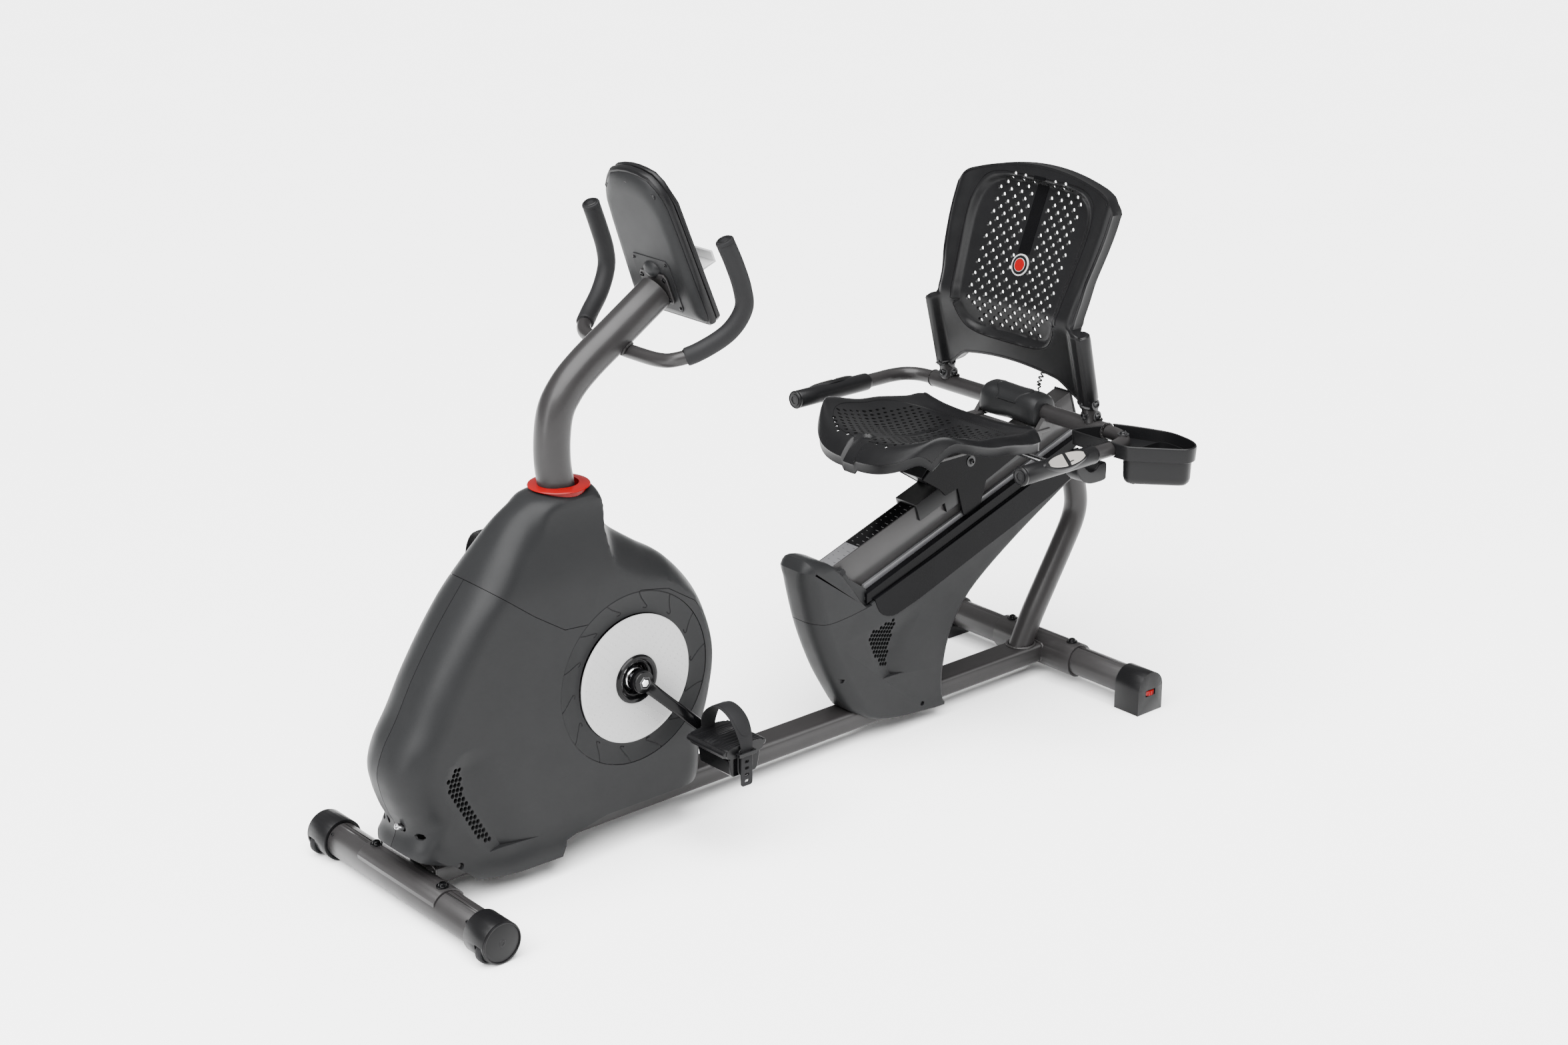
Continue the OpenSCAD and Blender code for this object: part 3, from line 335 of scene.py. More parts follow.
def circle(r, sides=24, squash=1.0):
    return [(r * math.cos(2 * math.pi * k / sides), r * squash * math.sin(2 * math.pi * k / sides))
            for k in range(sides)]


def rounded(w, h, r, steps=5):
    """A rounded rectangle's corners, round its middle."""
    out = []
    for cx, cy, start in ((w / 2 - r, h / 2 - r, 0), (r - w / 2, h / 2 - r, 90),
                          (r - w / 2, r - h / 2, 180), (w / 2 - r, r - h / 2, 270)):
        for k in range(steps + 1):
            t = math.radians(start + 90 * k / steps)
            out.append((cx + r * math.cos(t), cy + r * math.sin(t)))
    return out


def distances(path):
    """How far along the path each of its points is."""
    runs = [0.0]
    for a, b in zip(path, path[1:]):
        runs.append(runs[-1] + (b - a).length)
    return runs


def tube(path, stations, sides=28):
    """A round bar along a path whose radius follows stations: pairs of distance along, in mm, and radius.
    A negative distance counts back from the end, and so does a last distance of 0."""
    pts = [Vector(p) for p in path]
    runs = distances(pts)
    total = runs[-1]
    stops = [((s if s >= 0 else total + s), r) for s, r in stations]
    if stations[-1][0] == 0:
        stops[-1] = (total, stations[-1][1])

    def point(s):
        i = max(1, next((k for k, run in enumerate(runs) if run >= s), len(runs) - 1))
        t = (s - runs[i - 1]) / max(1e-6, runs[i] - runs[i - 1])
        return pts[i - 1].lerp(pts[i], t)

    def radius(s):
        for (s0, r0), (s1, r1) in zip(stops, stops[1:]):
            if s0 <= s <= s1:
                return r0 + (r1 - r0) * (s - s0) / max(1e-6, s1 - s0)
        return stops[-1][1]

    marks = list(stops)
    marks += [(s, radius(s)) for s in runs if stops[0][0] + 1 < s < stops[-1][0] - 1
              and all(abs(s - q) > 1 for q, _ in stops)]
    marks.sort(key=lambda m: m[0])
    places = [point(s) for s, _ in marks]
    for i in range(1, len(places)):
        if (places[i] - places[i - 1]).length < 1e-4:
            step = (places[min(i + 1, len(places) - 1)] - places[i - 2]).normalized()
            places[i] = places[i] + step * 0.01
    return sweep(places, circle(1, sides), scale=[max(r, 0.01) for _, r in marks])


def join(parts):
    """Several (corners, faces) pairs as one."""
    verts, faces = [], []
    for v, f in parts:
        faces += [tuple(i + len(verts) for i in face) for face in f]
        verts += list(v)
    return verts, faces


def mirrored(part):
    """The same shape on the other side of the bike."""
    verts, faces = part
    return [(v[0], -v[1], v[2]) for v in verts], faces


def both(part):
    """A part and its mirror image as one."""
    return join([part, mirrored(part)])


def ease(t):
    """A soft step from 0 to 1."""
    u = max(0.0, min(1.0, t))
    return u * u * (3 - 2 * u)


def cad(node, look, width=0.6):
    """Keeps a CAD node with a finish of its own and its sharp edges broken."""
    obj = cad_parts[node]
    obj.data.materials.clear()
    obj.data.materials.append(look)
    shade(obj, 32)
    if width:
        weld = obj.modifiers.new("weld", "WELD")
        weld.merge_threshold = 0.00001
        round_edges(obj, width)


# ---- Front shroud ----

# Side outline clockwise from the lower front: x, z, depth of the edge's rounding, and how hard
# its inner crease is.
SHROUD_EDGE = [(-34, 100, .19, 0), (-22, 150, .19, 0), (-36, 188, .19, 0), (-48, 226, .19, 0),
               (-52, 262, .19, 0),
               (-38, 302, .19, 0), (-9, 348, .19, 0), (28, 414, .19, 0), (80, 490, .18, 0),
               (142, 566, .17, 0),
               (205, 636, .16, 0), (250, 668, .15, 0), (292, 681, .06, 0), (388, 681, .05, .5),
               (403, 642, .14, .6), (424, 597, .20, .6), (485, 551, .20, .5), (545, 511, .14, .5),
               (594, 452, .10, .42), (622, 380, .09, .25), (633, 308, .12, 0), (626, 232, .16, 0),
               (606, 160, .17, 0), (592, 60, .17, 0), (512, 20, .17, 0), (300, -20, .17, 0),
               (140, -10, .17, 0),
               (30, 50, .17, 0)]
SHROUD_MID = (300, 330)
SHROUD_HALF = 80
WALL = 3
TOP_SEAM = [(40, 640), (90, 596), (158, 544), (223, 494), (284, 454), (334, 450), (391, 473), (450, 484),
            (509, 472), (568, 434), (612, 372)]
FOOT_EDGE = [(-90, 150), (-52, 131), (-16, 106), (37, 90), (63, 68), (89, 44), (172, 37), (258, 36),
             (270, 62),
             (302, 70), (362, 80), (512, 80), (560, 78), (640, 88)]
# Crest of the soft step above the flared foot, as x and z.
FOOT_CREST = [(-60, 150), (-22, 139), (5, 118), (43, 92), (81, 76), (151, 66), (210, 70), (260, 66),
              (640, 66)]
CRANK = (431, 323)
CRANK_RING = 160


def height_on(line, x):
    for (x0, z0), (x1, z1) in zip(line, line[1:]):
        if x <= x1:
            return z0 + (z1 - z0) * max(0, x - x0) / (x1 - x0)
    return line[-1][1]


def shroud_form(wall, vent_room=0):
    edge = spline_loop(SHROUD_EDGE, 9)
    shrink = 1 - wall / 300
    steps = [0, .004, .010, .018, .028, .04, .055, .072, .092, .115, .14, .165, .19, .215, .24, .29, .35, .42,
             .5,
             .6, .7, .8, .9, .97]

    def loop(t, s):
        out = []
        for x, z, depth, crease in edge:
            k = (1 - t) * shrink
            px, pz = SHROUD_MID[0] + (x - SHROUD_MID[0]) * k, SHROUD_MID[1] + (z - SHROUD_MID[1]) * k
            u = 1 - min(1, t / depth)
            soft = (1 - u ** 2.2) ** (1 / 2.2)
            v = crease + (1 - crease) * u
            hard = math.sqrt(max(0, 1 - v * v) / (1 - crease * crease))
            half = SHROUD_HALF - 27 * ease((pz - 510) / 150) - wall
            half += 9 * ease((height_on(FOOT_CREST, px) + 10 - pz) / 26)
            near_vent = ease(1 - math.hypot((px - 110) / 150, (pz - 185) / 170))
            half -= vent_room * min(1, 2.2 * near_vent)
            blend = min(1, crease / 0.3)
            out.append((px, s * half * (soft + (hard - soft) * blend), pz))
        return out

    return loft([loop(t, -1) for t in reversed(steps)] + [loop(t, 1) for t in steps[1:]])


def cutter(part):
    """A throwaway mesh for combine()."""
    verts, faces = part
    mesh = bpy.data.meshes.new("cutter")
    mesh.from_pydata([at(*v) for v in verts], [], [tuple(f) for f in faces])
    obj = bpy.data.objects.new("cutter", mesh)
    bpy.context.scene.collection.objects.link(obj)
    outward(obj)
    return obj


def scoop(stations, depth, surface):
    """A wedge that sinks a vent: stations run down it, each with its left edge, deepest line and
    right edge."""
    rows = spline([(*a, *b, *c) for a, b, c in stations], 4)
    loops = []
    for i, row in enumerate(rows):
        lx, lz, cx, cz, rx, rz = row
        d = depth * ease(min(1, i / 5))
        loops.append([(lx, -surface - 0.6, lz), (cx, -surface + d, cz),
                      (cx + (rx - cx) * 0.35, -surface + d * 0.5, cz + (rz - cz) * 0.35),
                      (rx, -surface - 0.6, rz), (rx, -surface - 40, rz), (lx, -surface - 40, lz)])
    return loft(loops)


def inside(p, polygon):
    """Whether a point lies in a polygon."""
    hit = False
    for (x0, z0), (x1, z1) in zip(polygon, polygon[1:] + polygon[:1]):
        if (z0 > p[1]) != (z1 > p[1]) and p[0] < (x1 - x0) * (p[1] - z0) / (z1 - z0) + x0:
            hit = not hit
    return hit


def vent_field(polygon, pitch, radius, tilt, near, far):
    """Round holes in staggered rows wherever one fits inside the polygon, drilled along y."""
    mid = Vector((sum(p[0] for p in polygon), sum(p[1] for p in polygon))) / len(polygon)
    turn = Matrix.Rotation(math.radians(tilt), 2)
    holes = []
    for i in range(-22, 23):
        for j in range(-22, 23):
            p = mid + turn @ Vector(((i + (j % 2) / 2) * pitch, j * pitch * 0.62))
            rim = [(p.x + (radius + 1.5) * math.cos(t), p.y + (radius + 1.5) * math.sin(t)) for t in (0.8,
                    2.4, 3.9, 5.5)]
            if all(inside(q, polygon) for q in rim):
                holes.append(turned([(radius, near), (radius, far)], (p.x, 0, p.y), (0, 1, 0), 14))
    return join(holes)


def flip_side(obj, name):
    """A copy of a finished piece on the other side of the bike."""
    copy = bpy.data.objects.new(name, obj.data.copy())
    bpy.context.scene.collection.objects.link(copy)
    for v in copy.data.vertices:
        v.co.y = 2 * MID_Y - v.co.y
    copy.data.flip_normals()
    return copy


SHROUD_SCOOP = [((70, 292), (73, 291), (112, 296)), ((40, 268), (71, 258), (124, 268)),
                ((26, 246), (72, 236), (134, 243)), ((30, 213), (79, 213), (148, 213)),
                ((52, 171), (102, 168), (172, 168)), ((82, 116), (130, 112), (206, 112)),
                ((110, 91), (140, 92), (222, 86))]
SHROUD_HOLES = [(68, 280), (40, 264), (31, 246), (34, 215), (56, 172), (86, 119), (112, 97), (133, 100),
                (101, 165),
                (75, 215), (69, 250)]


def make_shroud():
    sky = [(720, 372), (720, 760), (40, 760)]
    slot_for_beam = plate([(-60, 0), (660, 0), (660, 72), (-60, 72)], -31, 31)
    jack = turned([(6.2, -20), (6.2, 30)], (-22, -22, 160),
                  (-math.sin(math.radians(62)), 0, math.cos(math.radians(62))))
    side = cutter(shroud_form(0))
    notch = turned([(0.1, -6.5), (3.4, -4.5), (5, 0), (3.4, 4.5), (0.1, 6.5)], (-18, -52, 151), (0, 0, 1), 20)
    notch = ([(-18 + (x + 18) * 4.2, -56 + (y + 52) * 2.4, z - 0.25 * (x + 18)) for x, y, z in notch[0]],
             notch[1])
    combine(side, [cutter(shroud_form(WALL, 13)), cutter(plate(FOOT_EDGE + [(640, -90), (-90, -90)], -130,
            130)),
                   cutter(slot_for_beam)])
    top = bpy.data.objects.new("shroud_cover", side.data.copy())
    bpy.context.scene.collection.objects.link(top)
    combine(side, [cutter(plate([(x, z - 0.6) for x, z in TOP_SEAM] + sky, -130, 130)),
                   cutter(plate([(-100, -60), (800, -60), (800, 800), (-100, 800)], -0.6, 130)),
                   cutter(turned([(CRANK_RING + 0.6, -120), (CRANK_RING + 0.6, -40)],
                                 (CRANK[0], 0, CRANK[1]), (0, 1, 0), 128)),
                   cutter(scoop(SHROUD_SCOOP, 10, SHROUD_HALF)), cutter(notch), cutter(jack),
                   cutter(turned([(6.5, -110), (6.5, -70)], (52, 0, 84), (0, 1, 0), 24)),
                   cutter(vent_field(SHROUD_HOLES, 11.5, 4.3, -62, -90, -45))])
    side.name = "shroud_side_left"
    right = flip_side(side, "shroud_side_right")
    for obj, node in ((side, "shroud_left"), (right, "shroud_right")):
        dress(obj, "frame", SHELL, 28, (node,))
    combine(top, [cutter(plate([(x, z + 0.6) for x, z in TOP_SEAM] + sky, -130, 130))], "INTERSECT")
    combine(top, [cutter(turned([(48.2, -60), (48.2, 60)], (338, 0, 690), (0, 0, 1), 96)),
                  cutter(turned([(CRANK_RING + 0.9, -120), (CRANK_RING + 0.9, 120)],
                                (CRANK[0], 0, CRANK[1]), (0, 1, 0), 128))])
    dress(top, "frame", SHELL, 28, ("shroud_top",))


def crank_ring():
    """The dished ring round the disc, cut with hooked grooves."""
    face = SHROUD_HALF
    profile = [(119.5, -face + 9), (119.5, -face + 3.6), (122, -face + 4.6), (127, -face + 5),
               (140, -face + 4),
               (152, -face + 2.0), (158.5, -face + 0.7), (CRANK_RING, -face + 1.2), (CRANK_RING, -face + 4.5),
               (150, -face + 6), (135, -face + 9)]
    ring = solid("crank_ring_left", *ring_of(profile, (CRANK[0], 0, CRANK[1]), (0, 1, 0), 144), None, SHELL,
                 28)
    hook = [(161, 0), (156, .6), (149, 2.2), (142, 4.6), (135, 7.6), (130.5, 9.6), (127.8, 9.2), (127.4, 7.2),
            (129, 6)]
    depth = {161: 1.0, 156: 1.2, 149: 2.4, 142: 3.7, 135: 4.4, 130.5: 4.8, 127.8: 5, 127.4: 5, 129: 4.9}
    cuts = []
    for k in range(14):
        path = []
        for r, turn in hook:
            a = math.radians(360 / 14 * k + 8 - turn)
            path.append((CRANK[0] + r * math.cos(a), -face + depth[r], CRANK[1] + r * math.sin(a)))
        cuts.append(sweep(spline(path, 3), circle(1.15, 8), up=(0, 1, 0)))
    combine(ring, [cutter(join(cuts))])
    shade(ring, 24)
    right = flip_side(ring, "crank_ring_right")
    for obj in (ring, right):
        dress(obj, "frame", SHELL, 24)


def crank_disc():
    """The light disc with its rings of raised dots, and the dark hub round the crank."""
    centre, out = (CRANK[0], 0, CRANK[1]), (0, 1, 0)
    face = -84.3
    disc = ring_of([(45, -80.4), (45, face), (47, face - .2), (110, face - .2), (116.5, face + .3),
                    (118.5, face + 1.6), (118.5, -80.4)], centre, out, 144)
    dots = []
    for row in range(8):
        r = 57 + 7.6 * row
        count = 20 + 4 * row
        for k in range(count):
            a = 2 * math.pi * (k + 0.5 * (row % 2)) / count
            spot = (CRANK[0] + r * math.cos(a), face, CRANK[1] + r * math.sin(a))
            dots.append(turned([(1.7, 0.2), (1.55, -.45), (1.0, -.85), (.1, -1.0)], spot, out, 8))
    left = join([disc, *dots])
    hub = ring_of([(44.8, -79), (44.8, -86), (42.5, -88.6), (38.5, -89.4), (35.5, -88.2), (33.2, -85.6),
                   (31.5, -84.4),
                   (29, -84), (26, -80), (23.5, -70), (26, -66), (33.5, -66), (33.5, -79)], centre, out, 96)
    chrome = ring_of([(22, -72), (23.2, -76), (22, -80), (19.5, -82.5), (16.5, -82), (15.5, -78),
                      (15.5, -72)],
                     centre, out, 72)
    solid("disc_left", *left, "frame", SILVER, 30, ("shroud_discs",))
    solid("disc_right", *mirrored(left), "frame", SILVER)
    solid("hub_rings", *both(hub), "frame", GLOSS)
    solid("hub_seals", *both(chrome), "frame", CHROME)


make_shroud()
crank_ring()
crank_disc()
COLLAR = (338, 0, 0)
solid("mast_ring", *ring_of([(33.2, 664), (47.6, 664), (47.6, 682.4), (53, 682.6), (54.6, 683.8),
                             (53.4, 685.4),
                              (47.5, 686.4), (40, 687.2), (36, 687.2), (34.6, 687.6), (34.0, 684)],
                             COLLAR, (0, 0, 1), 96), "frame", RED, 30, ("mast_collar",))


# ---- Base frame, mast and handlebar ----

MAST_PATH = [(342, 0, 560), (339, 0, 640), (326, 0, 730), (333, 0, 805), (358, 0, 848), (400, 0, 884),
             (467, 0, 927), (556, 0, 984)]
BAR_PATH = [(476, 0, 899), (480, -24, 896), (484, -92, 896), (494, -128, 902), (524, -154, 916),
            (568, -178, 946),
            (592, -189, 984), (590, -189, 1020), (574, -187, 1066), (556, -183, 1108)]
STRUT_PATH = [(1488, 0, 60), (1525, 0, 130), (1566, 0, 196), (1605, 0, 258), (1634, 0, 308), (1644, 0, 345),
              (1638, 0, 385), (1624, 0, 425), (1606, 0, 462), (1588, 0, 500)]
WHEELBASE = 1557


def bead(path, radius=2.6, wobble=0.5):
    """A weld: a thin bead along a line, with the ripples of its puddles."""
    pts = spline(path, 6)
    return sweep(pts, circle(1, 8), up=(0.1, 0.2, 1),
                 scale=[radius + wobble * math.sin(2.4 * i) for i in range(len(pts))])


def dome_bolt(place, axis, head=7.5, washer=11):
    """A domed head with a socket, on its washer."""
    return turned([(washer, 0), (washer, 1.5), (head + .6, 1.9), (head + .4, 2.2), (head, 2.8),
                   (head * .96, 4.4),
                   (head * .8, 6.2), (head * .52, 7.2), (head * .46, 7.3), (head * .44, 4.6), (0, 4.4)],
                  place, axis, 28)


def screw(place, axis, head=4.2):
    return turned([(head, 0), (head, 1.0), (head * .8, 1.8), (head * .42, 2.1), (head * .38, .7), (0, .6)],
                  place, axis, 20)


def make_mast():
    path = spline(MAST_PATH, 14)
    solid("mast_tube", *tube(path, [(0, 31.75), (-1, 31.75)], 48), "frame", PAINT, 30, ("mast",))
    half = spline(BAR_PATH, 12)
    bar = tube(half, [(0, 12.5), (-6, 12.5)], 28)
    solid("bar_tube", *both(bar), "frame", PAINT, 30, ("handlebar",))
    grip = tube(half, [(150, 12.6), (150, 15.2), (152, 16), (158, 16.1), (-9, 16), (-7.5, 15.4), (-6.5, 15.4),
                       (-5.8, 16.2), (-3, 16.2), (-1.2, 15.4), (0, 12.6)], 32)
    solid("bar_grips", *both(grip), "frame", FOAM, 40, ("handlebar_grips",))
    tip, aim = half[-1], (half[-1] - half[-2]).normalized()
    plug = ring_of([(12.8, -1), (12.6, 1.0), (10.4, 1.8), (9.6, 0.4), (6.2, 0.3), (5.4, -2.5), (6, -3)], tip,
                   aim, 32)
    solid("bar_plugs", *both(plug), "frame", BLACK)
    # The bar crosses under the mast, so its weld is a saddle on the mast's round side.
    mast_along, mast_in, drop, reach = Vector((0.842, 0, 0.539)), Vector((-0.539, 0, 0.842)), 30.3, 13.2
    saddle = []
    for turn in [math.radians(a) for a in range(-80, 81, 10)]:
        across = math.sqrt(max(0, 32.2 ** 2 - (drop - reach * math.cos(turn)) ** 2))
        point = Vector((478, 0,
                        897.5)) + mast_in * reach * math.cos(turn) + mast_along * reach * math.sin(turn)
        saddle.append(point - Vector((0, across, 0)))
    solid("bar_welds", *both(bead(saddle, 2.6)), "frame", WELD, 60)


def make_base():
    for node in ("main_beam", "front_stabilizer", "rear_stabilizer", "drive_frame"):
        cad(node, PAINT, 1.2)
    strut = tube(spline(STRUT_PATH, 10), [(0, 24), (-1, 24)], 40)
    solid("strut_tube", *strut, "frame", PAINT, 30, ("seat_support_tube",))
    ring = [(1494 + 30 * math.cos(t), 27 * math.sin(t), 71.5) for t in [math.radians(a) for a in range(0, 361,
            30)]]
    weld = bead(ring, 2.8)
    tee = bead([(1524, -30, 34), (1526, -31, 52), (1527, -30, 68), (1527, -16, 71), (1527, 0, 71.5),
                (1527, 16, 71),
                (1527, 30, 68), (1526, 31, 52), (1524, 30, 34)], 2.8)
    lug = bead([(32, -30, 46), (32, -30, 66), (31, -15, 71), (31, 15, 71), (32, 30, 66), (32, 30, 46)], 2.6)
    solid("frame_welds", *join([weld, tee, lug]), "frame", WELD, 60)
    bolts = []
    for s in (-1, 1):
        bolts.append(dome_bolt((0, s * 102, 38 + 35.9), (0, 0, 1)))
        bolts.append(dome_bolt((WHEELBASE, s * 85, 50 + 35.2), (0, 0, 1)))
    solid("base_bolts", *join(bolts), "frame", GLOSS, 30, ("frame_fasteners",), "black_steel")
    tiny = [screw((-24, s * 208, 59), (-.75, 0, .66), 3.4) for s in (-1, 1)]
    tiny += [turned([(6.5, 0), (6.5, -1.4), (4.5, -3), (.1, -3.4)], (x, 0, 30.8), (0, 0, 1),
                    20) for x in (380, 900, 1290, 1430)]
    solid("base_plugs", *join(tiny), "frame", BLACK)


def make_ends():
    """The caps with their transport wheels and the feet with their levellers."""
    cad("front_caps", BLACK, 1.6)
    cad("rear_feet", BLACK, 2.2)
    end = ring_of([(37.2, -273.4), (35.6, -274.6), (34.4, -274.4), (33.8, -273.0), (33.8, -271),
                   (37.2, -271)],
                  (0, 0, 38), (0, 1, 0), 64)
    hub = turned([(7, -272.2), (6.2, -273.4), (3.4, -273.6), (3.0, -272.4), (.1, -272.3)], (0, 0, 38),
                 (0, 1, 0), 28)
    solid("cap_rims", *both(join([end, hub])), "frame", BLACK)
    for side in ("left", "right"):
        s = -1 if side == "left" else 1
        wheel = ring_of([(3.4, -8), (9, -8.2), (10, -6.5), (15, -6.3), (16.4, -8), (18.6, -7.4), (20, -5),
                         (20.2, 0),
                         (20, 5), (18.6, 7.4), (16.4, 8), (15, 6.3), (10, 6.5), (9, 8.2), (3.4, 8)],
                        (-20, s * 257, 24), (0, 1, 0), 48)
        solid("roller_" + side, *wheel, "transport_wheel_" + side, RUBBER, 30, ("transport_wheel_" + side,),
              "black_plastic")
        cad("leveler_wheel_" + side, RED, 0.4)
        cad("leveler_pad_" + side, RUBBER, 0.6)
    axles = [turned([(3, -14.5), (3, 14.5)], (-20, s * 257, 24), (0, 1, 0), 20) for s in (-1, 1)]
    solid("roller_axles", *join(axles), "frame", CHROME)


# ---- Console ----

CONSOLE_FOOT = Vector((612, 0, 937))
CONSOLE_LEAN = 20.7
CONSOLE_W, CONSOLE_H = 200, 292


def on_console(part):
    """Moves a part from the console's own axes to the bike."""
    turn = Matrix.Rotation(math.radians(-CONSOLE_LEAN), 3, "Y")
    return [CONSOLE_FOOT + turn @ Vector(v) for v in part[0]], part[1]


def console_loop(x, k, drop=0):
    half, top = CONSOLE_W / 2, CONSOLE_H
    right = [(half - 10, 0), (half - 2.5, 4), (half, 14), (half - 5, 100), (half - 10, 190),
             (half - 14, top - 58),
             (half - 20, top - 40), (half - 33, top - 23), (52, top - 9), (26, top - 2.2), (0, top)]
    points = right + [(-y, z) for y, z in reversed(right[:-1])]
    return [(x, y * k, top / 2 + (z - top / 2) * k - drop) for y, z in points]


def make_console():
    rim = loft([console_loop(x, k) for x, k in ((-.3, .982), (-2, .996), (-6, 1.0), (-11, .996),
                                                (-14, .975))])
    hood = loft([console_loop(x, k) for x, k in ((-12, .955), (-14.8, .95), (-18, .93), (-21.5, .895),
                                                 (-24.6, .85),
                                                  (-26.4, .79), (-26.9, .72))])
    solid("console_rim", *on_console(rim), "frame", BLACK)
    solid("console_hood", *on_console(hood), "frame", SHELL, 28, ("console_back",))
    inset = plate([(-46, 26), (46, 26), (51, 34), (51, 118), (44, 128), (-44, 128), (-51, 118), (-51, 34)],
                  -28.4, -26.4, "front")
    tray = solid("console_plate", *on_console(inset), "frame", SHELL)
    round_edges(tray, 1.2, segments=3)
    lug = plate([(-33, 42), (33, 42), (37, 47), (37, 92), (31, 100), (-31, 100), (-37, 92), (-37, 47)],
                -33, -29, "front")
    mount = solid("mast_bracket", *on_console(lug), "frame", PAINT)
    round_edges(mount, 1.4, segments=3)
    hump = loft([[(x, y * k, z) for y, z in [(w * math.cos(t), 104 + w * .78 * math.sin(t) * lift)
                                             for t in [math.radians(a) for a in range(0, 360, 20)]]]
                 for x, k, w, lift in ((-28, 1, 21, 1), (-31, 1, 20, 1), (-35, 1, 17, .95), (-38, 1, 12, .8),
                                       (-39, 1, 5, .6))])
    solid("cable_hump", *on_console(hump), "frame", SHELL, 50)
    heads = [screw((-33.2, y, z), (-1, 0, 0), 4.6) for y, z in ((-30, 50), (30, 50), (-30, 90), (30, 90))]
    heads += [screw((-28.2, y, z), (-1, 0, 0), 3) for y, z in ((-45, 34), (45, 34), (-43, 120), (43, 120))]
    solid("console_screws", *on_console(join(heads)), "frame", GLOSS, 30, (), "black_steel")
    spots = [(-21, -80, 34), (-21, 80, 34), (-24.5, -64, 118), (-24.5, 64, 118), (-20.5, -62, 252),
             (-20.5, 62, 252),
             (-22.5, 0, 268)]
    holes = [ring_of([(5.6, 0), (5.2, -1.5), (3.6, -1.2), (3.4, 0.6)], spot, (1, 0, 0), 24) for spot in spots]
    # Dark discs set in the boss holes are painted shade for the holes' depth.
    well_shades = [turned([(3.9, 0), (3.9, -.9)], spot, (1, 0, 0), 24) for spot in spots]
    solid("console_bosses", *on_console(join(holes)), "frame", BLACK, 30, (), "charcoal_plastic")
    solid("console_well_shades", *on_console(join(well_shades)), "frame", HOLE_SHADE_AND_PRINT)
    cad("console_bezel", BLACK, 1.6)
    cad("console_screen", GLASS, 0.5)
    cad("media_shelf", SILVER, 1.0)
    for node in ("key_select", "key_up", "key_down"):
        cad(node, SILVER, 0.8)
    bars = []
    for i in range(12):
        tall = 6 + 5 * ((i * 5) % 7)
        bars.append(plate([(-60 + 10 * i, 140), (-52 + 10 * i, 140), (-52 + 10 * i, 140 + tall),
                           (-60 + 10 * i, 140 + tall)],
                          8.02, 8.3, "front"))
    for x in (-60, -18, 24):
        bars.append(plate([(x, 208), (x + 32, 208), (x + 32, 226), (x, 226)], 8.02, 8.3, "front"))
    solid("screen_bars", *on_console(join(bars)), "frame", SEGMENT)


make_mast()
make_base()
make_ends()
make_console()


# ---- Rear leg, rail and its covers ----

LEG_HALF = 45
# Side outline of the leg: x, z and how far that edge of the side face is rounded.
LEG_EDGE = [(862, 396, 26), (864, 372, 34), (870, 345, 34), (886, 284, 34), (902, 238, 34), (918, 200, 34),
            (934, 166, 34), (952, 134, 34), (970, 104, 34), (990, 76, 30), (1016, 60, 16), (1050, 46, 5),
            (1109, 34, 3),
            (1170, 29, 3), (1232, 25, 3), (1229, 40, 6), (1228, 62, 10), (1229, 84, 12), (1232, 110, 13),
            (1240, 150, 13), (1252, 182, 13), (1270, 214, 13), (1300, 248, 13), (1341, 280, 12),
            (1390, 313, 10),
            (1452, 351, 8), (1510, 384, 6), (1560, 412, 5), (1604, 438, 4), (1598, 480, 2), (1400, 418, 2),
            (1200, 352, 2), (1060, 306, 2), (1040, 299, 2), (1016, 292, 3), (990, 325, 4), (962, 362, 4),
            (936, 392, 8), (918, 404, 22), (896, 413, 26), (876, 414, 26)]
TONGUE_SEAM = [(830, 302), (854, 299), (870, 291), (887, 286), (912, 282), (938, 281), (975, 284),
               (1019, 290),
               (1030, 292)]
RAIL_AT = Vector((955, 0, 292))
RAIL_SLOPE = 18.6
RAIL_H = 88


def on_rail(part):
    """Moves a part from the rail's own axes, along it and above its underside, to the bike."""
    turn = Matrix.Rotation(math.radians(-RAIL_SLOPE), 3, "Y")
    return [RAIL_AT + turn @ Vector(v) for v in part[0]], part[1]


def pillow(edge, half, rings=7):
    """A slab from a side outline whose rim is rounded by each corner's own radius."""
    n = len(edge)
    inward = []
    for i, (x, z, r) in enumerate(edge):
        a, b = Vector(edge[i - 1][:2]), Vector(edge[(i + 1) % n][:2])
        along = (b - a).normalized()
        inward.append(Vector((-along.y, along.x)))
    area = sum(edge[i - 1][0] * edge[i][1] - edge[i][0] * edge[i - 1][1] for i in range(n))
    sign = 1 if area > 0 else -1
    loops = []
    for s in (-1, 1):
        for k in range(rings + 1):
            t = math.radians(90 * k / rings)
            loop = []
            for (x, z, r), inn in zip(edge, inward):
                step = r * (1 - math.sin(t)) * sign if s < 0 else r * (1 - math.cos(t)) * sign
                depth = half - r * (1 - math.cos(t)) if s < 0 else half - r * (1 - math.sin(t))
                loop.append((x + inn.x * step, s * depth, z + inn.y * step))
            loops.append(loop)
    return loft(loops)


